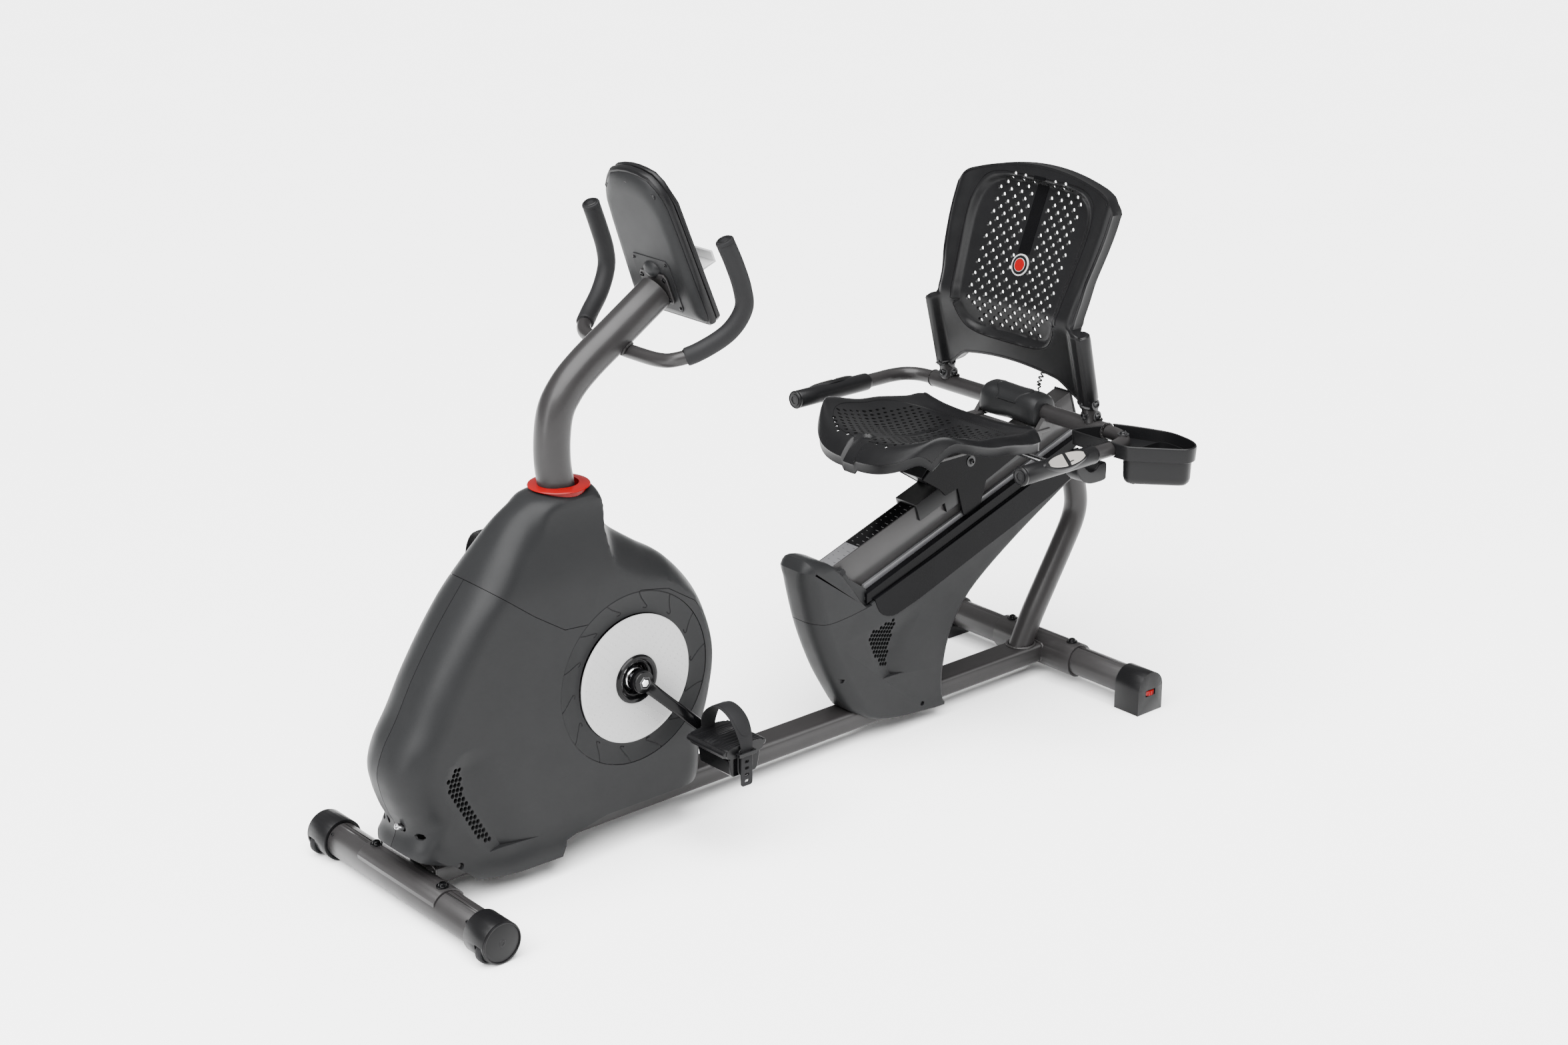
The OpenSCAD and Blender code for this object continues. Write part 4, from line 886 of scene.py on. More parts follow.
def make_leg():
    body = cutter(pillow(spline_loop(LEG_EDGE, 2), LEG_HALF))
    tongue = bpy.data.objects.new("leg_tongue", body.data.copy())
    bpy.context.scene.collection.objects.link(tongue)
    above = [(1030, 620), (830, 620)]
    beam = plate([(-31, 0), (31, 0), (31, 66), (24, 73), (-24, 73), (-31, 66)], 800, 1400, "front")
    channel = [(936, 420), (1010, 322), (1030, 306), (1060, 312), (1640, 508), (1640, 700), (900, 700)]
    vent = [((1028, 244), (1100, 258), (1206, 282)), ((1004, 228), (1092, 216), (1168, 252)),
            ((1016, 200), (1085, 186), (1146, 222)), ((1030, 172), (1079, 160), (1126, 172)),
            ((1046, 142), (1082, 142), (1121, 138)), ((1060, 130), (1088, 130), (1121, 128))]
    holes = [(1012, 227), (1031, 241), (1102, 254), (1079, 148), (1054, 150)]
    combine(body, [cutter(plate([(x, z - .5) for x, z in TONGUE_SEAM] + above, -90, 90)),
                   cutter(beam), cutter(plate(channel, -36, 36)),
                   cutter(both(scoop(vent, 9, LEG_HALF))),
                   cutter(both(vent_field(holes, 10.5, 4.0, -68, -60, -30))),
                   cutter(turned([(5, -80), (5, -40)], (1170, 0, 46), (0, 1, 0), 24)),
                   cutter(turned([(5, 40), (5, 80)], (1170, 0, 46), (0, 1, 0), 24)),
                   cutter(plate([(936, 149), (938, 161), (964, 155), (962, 147)], -70, -36)),
                   cutter(plate([(936, 149), (938, 161), (964, 155), (962, 147)], 36, 70))])
    body.name = "leg_cover"
    dress(body, "frame", SHELL, 24, ("rail_shroud_left", "rail_shroud_right"))
    combine(tongue, [cutter(plate([(x, z + .5) for x, z in TONGUE_SEAM] + above, -90, 90))],
            "INTERSECT")
    combine(tongue, [cutter(plate([(938, 440), (938, 396), (1021, 288), (1100, 288), (1100, 440)], -90, 90))])
    dress(tongue, "frame", SHELL, 24)
    fill = plate([(930, 394), (944, 381), (966, 377), (979, 357), (1024, 324), (1052, 268), (1016, 290)], -34,
                 34)
    infill = solid("rail_infill", *fill, "frame", SHELL)
    round_edges(infill, 2.5, segments=3)
    stops = pair([(14, 66), (39, 66), (42, 70), (39, 79), (14, 79)], 21, 34.6)
    pads = solid("rail_stops", *on_rail(join(stops)), "frame", RUBBER)
    round_edges(pads, 2)
    # Dark rings and discs on the infill's faces are painted shade standing for holes in it.
    holes = [ring_of([(4.6, -35.2), (3.6, -35.2), (3.2, -33.6), (4.6, -33.6)], (1024, 0, 305), (0, 1, 0), 20),
             turned([(3.4, -34.6), (3.4, -34.1)], (1024, 0, 305), (0, 1, 0), 20)]
    solid("infill_hole_shade", *both(join(holes)), "frame", HOLE_SHADE_AND_PRINT)
    panel = [(1037, 302), (1042, 288), (1050, 273), (1060, 264), (1071, 259), (1084, 256), (1098, 257),
             (1158, 274),
             (1283, 318), (1413, 362), (1519, 402), (1573, 424), (1596, 440), (1597, 486), (1400, 420),
             (1200, 353)]
    gloss = solid("rail_panels", *join(pair(panel, 40, 46.4)), "frame", PANEL)
    round_edges(gloss, 1.0, segments=3)


def make_rail():
    cad("seat_rail", PAINT, 1.0)
    strips = pair([(72, 2.2), (688, 2.2), (688, 12.5), (78, 12.5)], 21, 26.5)
    solid("rail_edges", *on_rail(join(strips)), "frame", STRIP, 30, ("rail_strips",))
    ledges = pair([(64, -17), (690, -17), (690, 1.8), (70, 1.8)], 21, 40.5)
    solid("rail_ledges", *on_rail(join(ledges)), "frame", PANEL)
    bed = on_rail(plate([(110, -18), (692, -18), (692, 0.2), (110, 0.2)], -21, 21))
    solid("rail_bed", *bed, "frame", BLACK)

    def decal(x0, x1, y0, y1, lift, thick):
        """A thin oblong on the rail's top."""
        return on_rail(plate([(x0, y0), (x1, y0), (x1, y1), (x0, y1)], RAIL_H + lift, RAIL_H + thick, "top"))

    solid("rail_scale_silver", *decal(2, 96, -18, 18, .05, .22), "frame", STRIP)
    solid("rail_scale_black", *decal(96, 330, -18, 18, .05, .22), "frame", GLOSS)
    ticks, pale = [], []
    for i in range(24):
        x = 10 + 13 * i
        long = 9 if i % 2 else 6
        marks = [decal(x, x + 1, -16, -16 + long, .22, .32), decal(x + 4, x + 5, 6, 10, .22, .32)]
        (ticks if x < 96 else pale).extend(marks)
    solid("scale_marks_dark", *join(ticks), "frame", HOLE_SHADE_AND_PRINT)
    solid("scale_marks_pale", *join(pale), "frame", MARK)
    cap = on_rail(plate([(-23, -3), (23, -3), (23, 90), (-23, 90)], 699, 704, "front"))
    round_edges(solid("rail_end_cap", *cap, "frame", BLACK), 2, segments=3)


make_leg()
make_rail()


# ---- Seat: carriage, frame, pan, grips, backrest, tray and lever ----

CROSS = Vector((1462, 0, 596))
GRIP_Y, GRIP_Z = 312, 595
STUB_Y = 196
STUB_LEAN = math.radians(-14)
SEAT_FRONT, SEAT_BACK, SEAT_HALF = 1004, 1352, 190
PAN_EDGE_LOW = 18


def stub_point(side, up):
    return CROSS + Vector((4 + math.sin(-STUB_LEAN) * -up, side * STUB_Y, math.cos(STUB_LEAN) * up))


def make_carriage():
    cad("seat_carriage", BLACK, 1.2)
    hook = [(1170, 510), (1217, 480), (1234, 463), (1266, 471), (1284, 412), (1300, 408), (1330, 420),
            (1345, 470),
            (1440, 507), (1440, 553), (1300, 553), (1196, 530)]
    cheeks = solid("carriage_cheeks", *join(pair(hook, 29.4, 33)), "seat", PANEL)
    round_edges(cheeks, 1.2, segments=3)
    lip = plate([(1172, 511), (1218, 481), (1226, 487), (1200, 534), (1190, 531)], -28, 28)
    round_edges(solid("carriage_nose", *lip, "seat", BLACK), 2)
    bolts = [dome_bolt((x, -33, z), (0, -1, 0), 5.5) for x, z in ((1300, 520), (1400, 530))]
    bolts += [dome_bolt((x, 33, z), (0, 1, 0), 5.5) for x, z in ((1300, 520), (1400, 530))]
    solid("carriage_bolts", *join(bolts), "seat", BLACK_STEEL)


def handle_path(side):
    points = [(1462, 236, 596), (1461, 258, 596), (1454, 282, 596), (1436, 301, 596), (1408, 310, 595.5),
              (1380, 312, 595), (1300, 312, 595), (1154, 312, 595)]
    return [Vector((x, side * y, z)) for x, y, z in spline(points, 5)]


def make_seat_frame():
    parts = [tube([CROSS + Vector((0, y, 0)) for y in (-236, -120, 0, 120, 236)],
                  [(0, 13), (0, 15.6), (1.5, 17), (-1.5, 17), (0, 17)], 36)]
    for side in (-1, 1):
        parts.append(sweep(handle_path(side), circle(14, 28)))
    for side in (-1, 1):
        y = side * 80
        parts.append(plate(rounded(24, 6, 1.2), 1120, 1460, "front"))
        parts[-1] = ([(x, v + y, w + 566) for x, v, w in parts[-1][0]], parts[-1][1])
        parts.append(plate([(1424, 564), (1462, 564), (1476, 584), (1450, 594)], y - 5 + side * 4,
                           y + 5 + side * 4))
    for x in (1244, 1400):
        bar = plate([(-92, 557.2), (92, 557.2), (92, 563.6), (-92, 563.6)], x, x + 36, "front")
        parts.append(bar)
    solid("seat_tubes", *join(parts), "seat", PAINT, 32, ("seat_frame",))
    stubs = []
    for side in (-1, 1):
        foot, head = stub_point(side, 6), stub_point(side, 61)
        stubs.append(tube([foot, head], [(0, 16), (-1, 16), (0, 15)], 32))
    solid("back_stubs", *join(stubs), "seat", PAINT, 32)
    welds, bolts = [], []
    for side in (-1, 1):
        ring = [CROSS + Vector((4 + 16.4 * math.cos(t), side * STUB_Y + 16.4 * math.sin(t),
                                17 * math.sqrt(max(.02, 1 - (.9 * math.cos(t)) ** 2)) + 1))
                for t in [2 * math.pi * k / 40 for k in range(40)]]
        welds.append(bead(ring, 2.6, True))
        ring = [CROSS + Vector((math.cos(t) * 15.2, side * 237.5, math.sin(t) * 15.2))
                for t in [2 * math.pi * k / 36 for k in range(36)]]
        welds.append(bead(ring, 2.2, True))
        for up in (24, 50):
            p = stub_point(side, up)
            out = Vector((-.72, side * -.1, .1)).normalized()
            bolts.append(dome_bolt(p + out * 15.5, out, 6.2))
            out = Vector((.05, -.99, .08)).normalized()
            bolts.append(dome_bolt(p + out * 15.5, out, 6.2))
    solid("seat_welds", *join(welds), "seat", WELD, 60)
    solid("stub_bolts", *join(bolts), "seat", BLACK_STEEL)


def make_tube_cover():
    stations = [(-75, 25, 24, 0), (-73, 30, 29, 0), (-66, 33.5, 32, 0), (-50, 35, 33, 1), (-34, 34, 32.5, 1),
                (-20, 33, 32, 0), (0, 32.5, 31.5, 0), (20, 33, 32, 0), (34, 34, 33, 0), (50, 35.5, 34, 1),
                (66, 34, 33, 1), (73, 31, 30, 0), (75, 26, 25, 0)]

    def section(y, rx, rz, lift):
        loop = []
        for k in range(48):
            t = 2 * math.pi * k / 48
            c, s = math.cos(t), math.sin(t)
            x = rx * math.copysign(abs(c) ** .85, c)
            z = rz * math.copysign(abs(s) ** .8, s)
            loop.append((CROSS.x - 2 + x - .10 * abs(y) * max(0, -s), y, CROSS.z + 2 + lift + max(z, -29)))
        return loop
    points = [s for a, b in zip(stations, stations[1:]) for s in (a, [(p + q) / 2 for p, q in zip(a, b)])]
    body = solid("tube_cover", *loft([section(*s) for s in [*points, stations[-1]]]), "seat", SHELL, 30,
                 ("seat_tube_cover",))
    combine(body, [cutter(turned([(17.6, -100), (17.6, 100)], CROSS, (0, 1, 0), 40))])
    dress(body, "seat", SHELL, 26)
    loops = []
    for k in range(25):
        t = math.radians(38 + 122 * k / 24)
        wide = 26 + 20 * abs(math.cos((t - math.radians(99)) * 1.4)) ** 3
        row = []
        for y in [wide * (j / 8 - 1) for j in range(17)]:
            r = 34.6 + .0009 * y * y - (1.6 if abs(y) > wide - 1 or k in (0, 24) else 0)
            row.append((CROSS.x - 2 + r * math.cos(t), y, CROSS.z + 2.2 + (r - 1) * math.sin(t)))
        loops.append(row)
    verts = [p for row in loops for p in row]
    faces = [(i * 17 + j, i * 17 + j + 1, (i + 1) * 17 + j + 1, (i + 1) * 17 + j)
             for i in range(24) for j in range(16)]
    saddle = solid("cover_saddle", verts, faces, "seat", SHELL, 40)
    thick = saddle.modifiers.new("thickness", "SOLIDIFY")
    thick.thickness = .0022
    thick.offset = 0


# ---- Seat pan ----

def pan_half(u):
    front, back = 34 * max(0, 1 - u / .3) ** 2, 10 * ease((u - .6) / .4)
    return SEAT_HALF - front - back - 16 * max(0, (u - .93) / .07) ** 3


def pan_front(v):
    return SEAT_FRONT + 70 * abs(v) ** 3


def pan_top(u, v):
    """Height of the pan's upper face: thigh swell, front roll, side bolsters and the front notch."""
    z = 590 + 30 * ease((.55 - u) / .5) - 38 * max(0, 1 - u / .16) ** 2
    z += 42 * abs(v) ** 3 * (1 - .5 * ease((u - .5) / .5)) - 26 * (max(0, abs(v) - .86) / .14) ** 2
    x = pan_front(v) + (SEAT_BACK - pan_front(v)) * u
    y = v * pan_half(u)
    z += 4 * ease((x - 1316) / 30) * (1 - .4 * v * v)
    reach = max(0, x - 1052) / 18
    notch = ease((1.12 - math.hypot(y / 18, reach)) / .4)
    groove = .35 * ease((1 - abs(y) / 9) / .6) * ease((1290 - x) / 60) * ease((x - 1060) / 30)
    return z - 8 * notch - 4 * groove


def pan_point(u, v):
    return Vector((pan_front(v) + (SEAT_BACK - pan_front(v)) * u, v * pan_half(u), pan_top(u, v)))


def skin(rows, columns, point, roll, drop_to, depth=lambda p: 1):
    """A grid of points with a rolled rim round it; roll pairs are how far out and how far along
    drop_to, which depth scales at each corner."""
    grid = [[point(i / rows, 2 * j / columns - 1) for j in range(columns + 1)] for i in range(rows + 1)]
    verts = [p for row in grid for p in row]
    m = columns + 1
    faces = [(i * m + j, i * m + j + 1, (i + 1) * m + j + 1, (i + 1) * m + j)
             for i in range(rows) for j in range(columns)]
    rim = [(0, j) for j in range(columns)] + [(i, columns) for i in range(rows)]
    rim += [(rows, j) for j in range(columns, 0, -1)] + [(i, 0) for i in range(rows, 0, -1)]
    loop = [i * m + j for i, j in rim]
    n = len(loop)
    for out, drop in roll:
        start = len(verts)
        for k in range(n):
            i, j = rim[k]
            before, after = grid[rim[k - 3][0]][rim[k - 3][1]], grid[rim[(k + 3) % n][0]][rim[(k + 3) % n][1]]
            along = (after - before)
            side = along.cross(Vector(drop_to)).normalized()
            verts.append(grid[i][j] - side * out + Vector(drop_to) * drop * depth(grid[i][j]))
        ring = list(range(start, start + n))
        faces += [(loop[k], loop[(k + 1) % n], ring[(k + 1) % n], ring[k]) for k in range(n)]
        loop = ring
    return verts, faces


def thicken(obj, thickness):
    """Gives a skin this thickness in mm, behind its face."""
    mod = obj.modifiers.new("thickness", "SOLIDIFY")
    mod.thickness = thickness / 1000
    mod.offset = -1
    mod.use_even_offset = False
    bake(obj)


def make_pan():
    roll = [(1.5, .6), (3.2, 2.6), (4, 6), (4.2, PAN_EDGE_LOW), (3.6, PAN_EDGE_LOW + 1.6)]
    pan = solid("seat_shell", *skin(96, 96, pan_point, roll, (0, 0, -1)), None, BLACK, 30, ("seat_pan",))
    thicken(pan, 4)
    holes = []
    for j in range(-10, 11):
        for i in range(17):
            y = 13.4 * j
            x = 1032 + 17.4 * i + (8.7 if j % 2 else 0)
            v = y / 175
            u = (x - pan_front(v)) / (SEAT_BACK - pan_front(v))
            centre = j == 0 or (abs(j) == 1 and x < 1095)
            limit = .78 - .10 * ease((u - .5) / .4) - .30 * ease((.22 - u) / .12) ** 2
            if centre or not .09 < u < .84 or abs(v) > limit:
                continue
            r = 4.1 - 1.0 * ease((u - .35) / .3)
            long = 1.0 if u < .4 else 1.55
            loop = [(x + r * long * math.cos(math.pi * k / 6),
                     y + r * math.sin(math.pi * k / 6)) for k in range(12)]
            holes.append(plate(loop, 520, 680, "top"))
    cross = [(-16, -1.6), (-2, -1.6), (-1.6, -6), (1.6, -6), (2, -1.6), (16, -1.6), (16, 1.6), (2, 1.6),
             (1.6, 6), (-1.6, 6), (-2, 1.6), (-16, 1.6)]
    holes.append(plate([(1226 + x, y) for x, y in cross], 520, 680, "top"))
    combine(pan, [cutter(join(holes))])
    path = []
    for k in range(160):
        t = 2 * math.pi * k / 160
        c, s = math.cos(t), math.sin(t)
        v = .84 * math.copysign(abs(s) ** .55, s)
        u = .5 + .40 * math.copysign(abs(c) ** .6, c)
        path.append(pan_point(u, v))
    combine(pan, [cutter(sweep(path, circle(1.0, 6), closed=True))])
    dress(pan, "seat", BLACK)
    pads = [turned([(9, 568.5), (9, pan_top((x - SEAT_FRONT) / (SEAT_BACK - SEAT_FRONT), 80 / 185) - 3)],
                   (x, s * 80, 0), (0, 0, 1), 24)
            for x in (1150, 1300) for s in (-1, 1)]
    solid("pan_bosses", *join(pads), "seat", BLACK)


def make_grips():
    parts, caps, plates, swells = [], [], [], []
    for side in (-1, 1):
        y = side * GRIP_Y
        path = [(x, y, GRIP_Z) for x in (1342, 1300, 1240, 1200, 1152)]
        parts.append(tube(path, [(0, 14.6), (0, 16.6), (2, 17.6), (6, 18), (-1.5, 18), (0, 17.2)], 32))
        cap = [(14.5, 0), (17.6, .5), (18.4, 2), (18.4, 5), (17.4, 6.5), (16, 7.4), (15.6, 6.2), (12.6, 6.2),
               (12.2, 7.6),
               (8, 8), (7.6, 6.6), (0, 6.6)]
        caps.append(turned(cap, (1152, y, GRIP_Z), (-1, 0, 0), 32))
        for k in range(9):
            t = 2 * math.pi * k / 9
            caps.append(turned([(1.3, 6), (1.3, 7.6)],
                               (1152, y + 10 * math.cos(t), GRIP_Z + 10 * math.sin(t)), (-1, 0, 0), 8))
        out = Vector((0, side * .72, .69)).normalized()
        across = Vector((1, 0, 0)).cross(out)
        middle_pt = Vector((1254, y, GRIP_Z))
        rings = []
        for lift, k in ((8, 1.08), (17.2, 1.06), (19.4, 1.0), (20.2, .95)):
            ring = []
            for q in range(48):
                t = 2 * math.pi * q / 48
                u = 58 * k * math.cos(t)
                w = 16.5 * k * math.sin(t) * (1 - .22 * math.cos(t) ** 2)
                rise = lift - (w * w) / 60 * (1 if lift > 10 else 0)
                ring.append(middle_pt + Vector((u, 0, 0)) + across * w + out * rise)
            rings.append(ring)
        swells.append(loft(rings))
        for half in (-1, 1):
            lens = []
            for lift in (14, 20.9, 21.4):
                shrink = 1 if lift < 21 else .95
                loop = []
                for q in range(24):
                    s = q / 11.5
                    s = s if s <= 1 else 2 - s
                    edge = 1 if q < 12 else -1
                    u = half * (5 + 43 * s)
                    w = edge * 13.0 * math.sqrt(max(0, 1 - ((abs(u) + 1) / 50) ** 2)) * shrink
                    bow = 4 * (1 - (w / 14) ** 2) * (1 - s) * 1.2
                    loop.append(middle_pt + Vector((u + bow, 0, 0)) + across * w + out * (lift - w * w / 60))
                lens.append(loop)
            plates.append(loft(lens))
    solid("grip_sleeves", *join(parts), "seat", BLACK, 30, ("side_grips",))
    solid("grip_ends", *join(caps), "seat", BLACK)
    solid("sensor_beds", *join(swells), "seat", BLACK)
    solid("sensor_plates", *join(plates), "seat", IVORY)


# ---- Backrest ----

KNEE = Vector((1404, 0, 800))
DISH = 20


def back_face(z):
    """Where the backrest's front face stands at a height, before the dish."""
    upper = KNEE.x + (z - KNEE.z) * 106 / 264
    lower = KNEE.x + (KNEE.z - z) * 40 / 145
    t = ease((z - KNEE.z + 26) / 52)
    return lower * (1 - t) + upper * t + 3.5 * math.exp(-((z - KNEE.z) / 18) ** 2)


def sleeve_axis(z):
    """Where the middle of a stub's sleeve stands at a height."""
    return CROSS.x + 4 - (z - CROSS.z) * math.tan(-STUB_LEAN)


def back_half(z):
    return 212 - 27 * ease((z - 783) / 16) + 22 * ease((z - 800) / 190)


def back_high(v):
    y = abs(v) * 208
    return 1068 - .0009 * y * y - 20 * max(0, (y - 180) / 28) ** 2


def back_low(v):
    y = abs(v) * 212
    return 692 - .0008 * y * y - 22 * ease((y - 120) / 60)


def back_point(u, v):
    """A point of the backrest's front skin, u up from the skirt and v across."""
    z = back_low(v) + (back_high(v) - back_low(v)) * u
    y = v * back_half(z)
    wide = 136 + 22 * ease((z - 760) / 240)
    inside = ease((1.02 - (abs(y / wide) ** 5 + abs((z - 888) / 152) ** 5) ** .2) / .10)
    dish = DISH * (1 - .75 * (y / wide) ** 2) * inside
    roll = 7 * ease((abs(y) - back_half(z) + 16) / 16)
    wrap = 9 * ease((abs(y) - 150) / 55) * ease((z - 830) / 60)
    x = back_face(z) + dish * .8 + 4 * inside - wrap + roll
    over_stub = ease((24 - abs(abs(y) - STUB_Y)) / 18) * ease((806 - z) / 24)
    return Vector((x + (min(x, sleeve_axis(z) - 20.5) - x) * over_stub, y, z))


def back_at(y, z):
    u = (z - back_low(y / 190)) / (back_high(y / 190) - back_low(y / 190))
    return back_point(u, y / back_half(z))


def flange_depth(p):
    return 1 - .62 * ease((800 - p.z) / 16) * ease((abs(p.y) - 160) / 20)


def make_backrest():
    roll = [(1.4, .8), (2.4, 3), (2.8, 8), (2.8, 27), (2.2, 28.5)]
    shell = solid("back_shell", *skin(110, 96, back_point, roll, (1, 0, 0), flange_depth), None, BLACK, 30,
                  ("backrest_shell", "backrest_panel"))
    thicken(shell, 4.5)
    holes = []
    for i in range(26):
        z = 756 + 11.5 * i
        for j in range(-5, 6):
            y = 26.5 * (j + (.5 if i % 2 else 0))
            reach = 112 - 34 * ease((790 - z) / 40) - 30 * ease((z - 1000) / 45)
            if abs(y) > reach or (abs(y) < 24 and z > 893) or (abs(y) < 26 and 850 < z < 908):
                continue
            p = back_at(y, z)
            holes.append(turned([(6.2, -3), (5.8, -.6), (3.3, 2.6), (3.3, 24)], p, (1, 0, 0), 14))
    combine(shell, [cutter(join(holes))])
    path = []
    for k in range(200):
        t = 2 * math.pi * k / 200
        c, s = math.cos(t), math.sin(t)
        z = 888 + 157 * math.copysign(abs(s) ** .4, s)
        wide = 141 + 22 * ease((z - 760) / 240)
        path.append(back_at(wide * math.copysign(abs(c) ** .4, c), z))
    combine(shell, [cutter(sweep(path, circle(1.5, 6), (1, 0, 0), closed=True))])
    dress(shell, "seat", BLACK)
    rows = [902 + 146 * k / 24 for k in range(25)]
    verts, faces = [], []
    for z in rows:
        for y, lift in ((-15.5, 1.6), (-14.6, -.8), (14.6, -.8), (15.5, 1.6)):
            verts.append(back_at(y, z) + Vector((lift, 0, 0)))
    faces = [(i * 4 + j, i * 4 + j + 1, (i + 1) * 4 + j + 1,
              (i + 1) * 4 + j) for i in range(24) for j in range(3)]
    faces += [(0, 1, 2, 3), tuple(96 + k for k in range(4))]
    faces += [(i * 4, (i + 1) * 4, (i + 1) * 4 + 3, i * 4 + 3) for i in range(24)]
    solid("back_strip", verts, faces, "seat", GLOSS)
    centre = back_at(0, 880)
    lean = Vector((-1, 0, .36)).normalized()
    base = centre - lean * 4
    rings = [(21.5, 22, 6.2, SILVER), (18.6, 19.4, 6.6, BLACK), (13.2, 14.0, 7.0, SILVER),
             (12.2, 12.6, 7.4, RED)]
    for name, (r, foot, lift, look) in zip(("badge_rim", "badge_ring", "badge_bezel", "badge_disc"), rings):
        profile = [(foot, 2 if name == "badge_rim" else 4), (r + .4, lift - .4), (r, lift), (0, lift + .05)]
        badge = turned(profile, base, lean, 48)
        solid(name, *badge, "seat", look, 40, (), {"badge_disc": "red_plastic"}.get(name, "silver_plastic"))
    sleeves = []
    for side in (-1, 1):
        path = [Vector((sleeve_axis(z), side * (STUB_Y + 1), z)) for z in (654, 680, 720, 760, 788)]
        profile = [(0, 16.3), (0, 17.8), (1.5, 18.6), (-10, 19.6), (-3, 18.4), (0, 15)]
        sleeves.append(tube(path, profile, 36))
    solid("back_sleeves", *join(sleeves), "seat", BLACK)


# ---- Tray ----

TRAY_RIM = [(1388, -346), (1394, -362), (1408, -379), (1434, -410), (1458, -436), (1476, -441), (1494, -434),
            (1508, -416), (1516, -390), (1520, -352), (1511, -316), (1497, -278), (1484, -250), (1477, -240),
            (1464, -238), (1440, -227), (1410, -215), (1394, -212), (1386, -218), (1385, -240), (1386, -300)]
TRAY_POCKET = [(1397, -348), (1403, -362), (1420, -382), (1444, -409), (1462, -428), (1476, -432),
               (1490, -426),
               (1501, -410), (1508, -384), (1511, -352), (1506, -335), (1490, -331), (1450, -331),
               (1415, -331),
               (1401, -335)]


def inset(loop, distance):
    """A closed plan outline moved inwards."""
    n = len(loop)
    area = sum(loop[i - 1][0] * loop[i][1] - loop[i][0] * loop[i - 1][1] for i in range(n))
    sign = 1 if area > 0 else -1
    out = []
    for i, p in enumerate(loop):
        along = (Vector(loop[(i + 1) % n]) - Vector(loop[i - 1])).normalized()
        out.append((p[0] - along.y * sign * distance, p[1] + along.x * sign * distance))
    return out


def make_tray():
    rim = spline_loop(TRAY_RIM, 4)
    pocket = spline_loop(TRAY_POCKET, 4)

    def level(loop, distance, z):
        return [(x, y, z) for x, y in inset(loop, distance)]
    rim_low = 582
    stations = [(rim, 3.6, rim_low), (rim, 3.0, rim_low - 1), (rim, 1.8, rim_low), (rim, 0, 606),
                (rim, .4, 609),
                (rim, 1.6, 610.2), (rim, 3.2, 610.2), (rim, 4.0, 609), (rim, 5.6, rim_low + 1)]
    verts, faces = loft([level(*s) for s in stations], closed=True)
    body = solid("tray_rim", verts, faces, None, BLACK, 30, ("accessory_tray",))
    cup = [(pocket, 22, 530.4), (pocket, 14, 531), (pocket, 7, 533.5), (pocket, 2.5, 538.5),
           (pocket, .6, 546),
           (pocket, -.8, 590), (pocket, 2.4, 590), (pocket, 4, 548), (pocket, 7, 541), (pocket, 12, 537),
           (pocket, 24, 536)]
    deck = plate(inset(rim, 3), 583, 586, "top")
    combine(body, [cutter(turned([(17.8, -270), (17.8, -200)], CROSS, (0, 1, 0), 36)),
                   cutter(turned([(15.2, 1340), (15.2, 1430)], (0, -GRIP_Y, GRIP_Z), (1, 0, 0), 36))])
    dress(body, "seat", BLACK)
    solid("tray_pocket", *loft([level(*s) for s in cup]), "seat", BLACK)
    plank = cutter(deck)
    combine(plank, [cutter(plate(inset(pocket, 2), 570, 600, "top")),
                    cutter(sweep(handle_path(-1), circle(15.4, 24))),
                    cutter(turned([(17.8, -270), (17.8, -200)], CROSS, (0, 1, 0), 36))])
    plank.name = "tray_deck"
    dress(plank, "seat", BLACK)
    bolt = dome_bolt((1440, -298, 609.6), (0, 0, 1), 6.5)
    solid("tray_bolt", *bolt, "seat", BLACK_STEEL)


def make_lever():
    rod = tube([(1352, y, 546) for y in (27, -60, -140, -220, -266)], [(0, 5), (.8, 6), (-.5, 6), (0, 5.6)],
               24)
    solid("lever_rod", *rod, "seat_lever", CHROME, 30, ("seat_lever",))
    outline = [(1310, 578), (1314, 560), (1326, 545), (1340, 535), (1358, 530.5), (1390, 531), (1394, 540),
               (1394, 562),
               (1388, 567), (1374, 566), (1364, 558), (1352, 556), (1340, 562), (1326, 576), (1316, 582)]
    handle = plate(spline_loop(outline, 3), -301, -262)
    grip = solid("lever_handle", *handle, "seat_lever", BLACK)
    round_edges(grip, 3.5, segments=3)


def make_cable():
    route = spline([(1478, -40, 627), (1486, -36, 652), (1500, -46, 676), (1512, -74, 684), (1518, -106, 676),
                    (1516, -134, 655), (1506, -148, 634), (1490, -150, 617)], 10)
    runs = distances(route)
    total = runs[-1]
    points, turns = [], 24
    for k in range(turns * 12 + 1):
        s = total * k / (turns * 12)
        i = max(1, next(q for q, run in enumerate(runs) if run >= s - 1e-6))
        t = (s - runs[i - 1]) / (runs[i] - runs[i - 1])
        p = route[i - 1].lerp(route[i], t)
        along = (route[i] - route[i - 1]).normalized()
        side = along.cross(Vector((.3, .2, 1))).normalized()
        up = side.cross(along)
        grow = 3.7 * ease(s / 14) * ease((total - s) / 14)
        a = 2 * math.pi * k / 12
        points.append(p + side * grow * math.cos(a) + up * grow * math.sin(a))
    solid("sensor_lead", *sweep(points, circle(1.5, 8)), "seat", RUBBER, 60, ("sensor_cable",))


make_carriage()
make_seat_frame()
make_tube_cover()
make_pan()
make_grips()
make_backrest()
make_tray()
make_lever()
make_cable()


# ---- Cranks, pedals and straps ----

CRANK_LENGTH = 165
PEDAL_SPAN = CRANK_LENGTH * math.cos(math.radians(45))
PEDAL_Y = -188


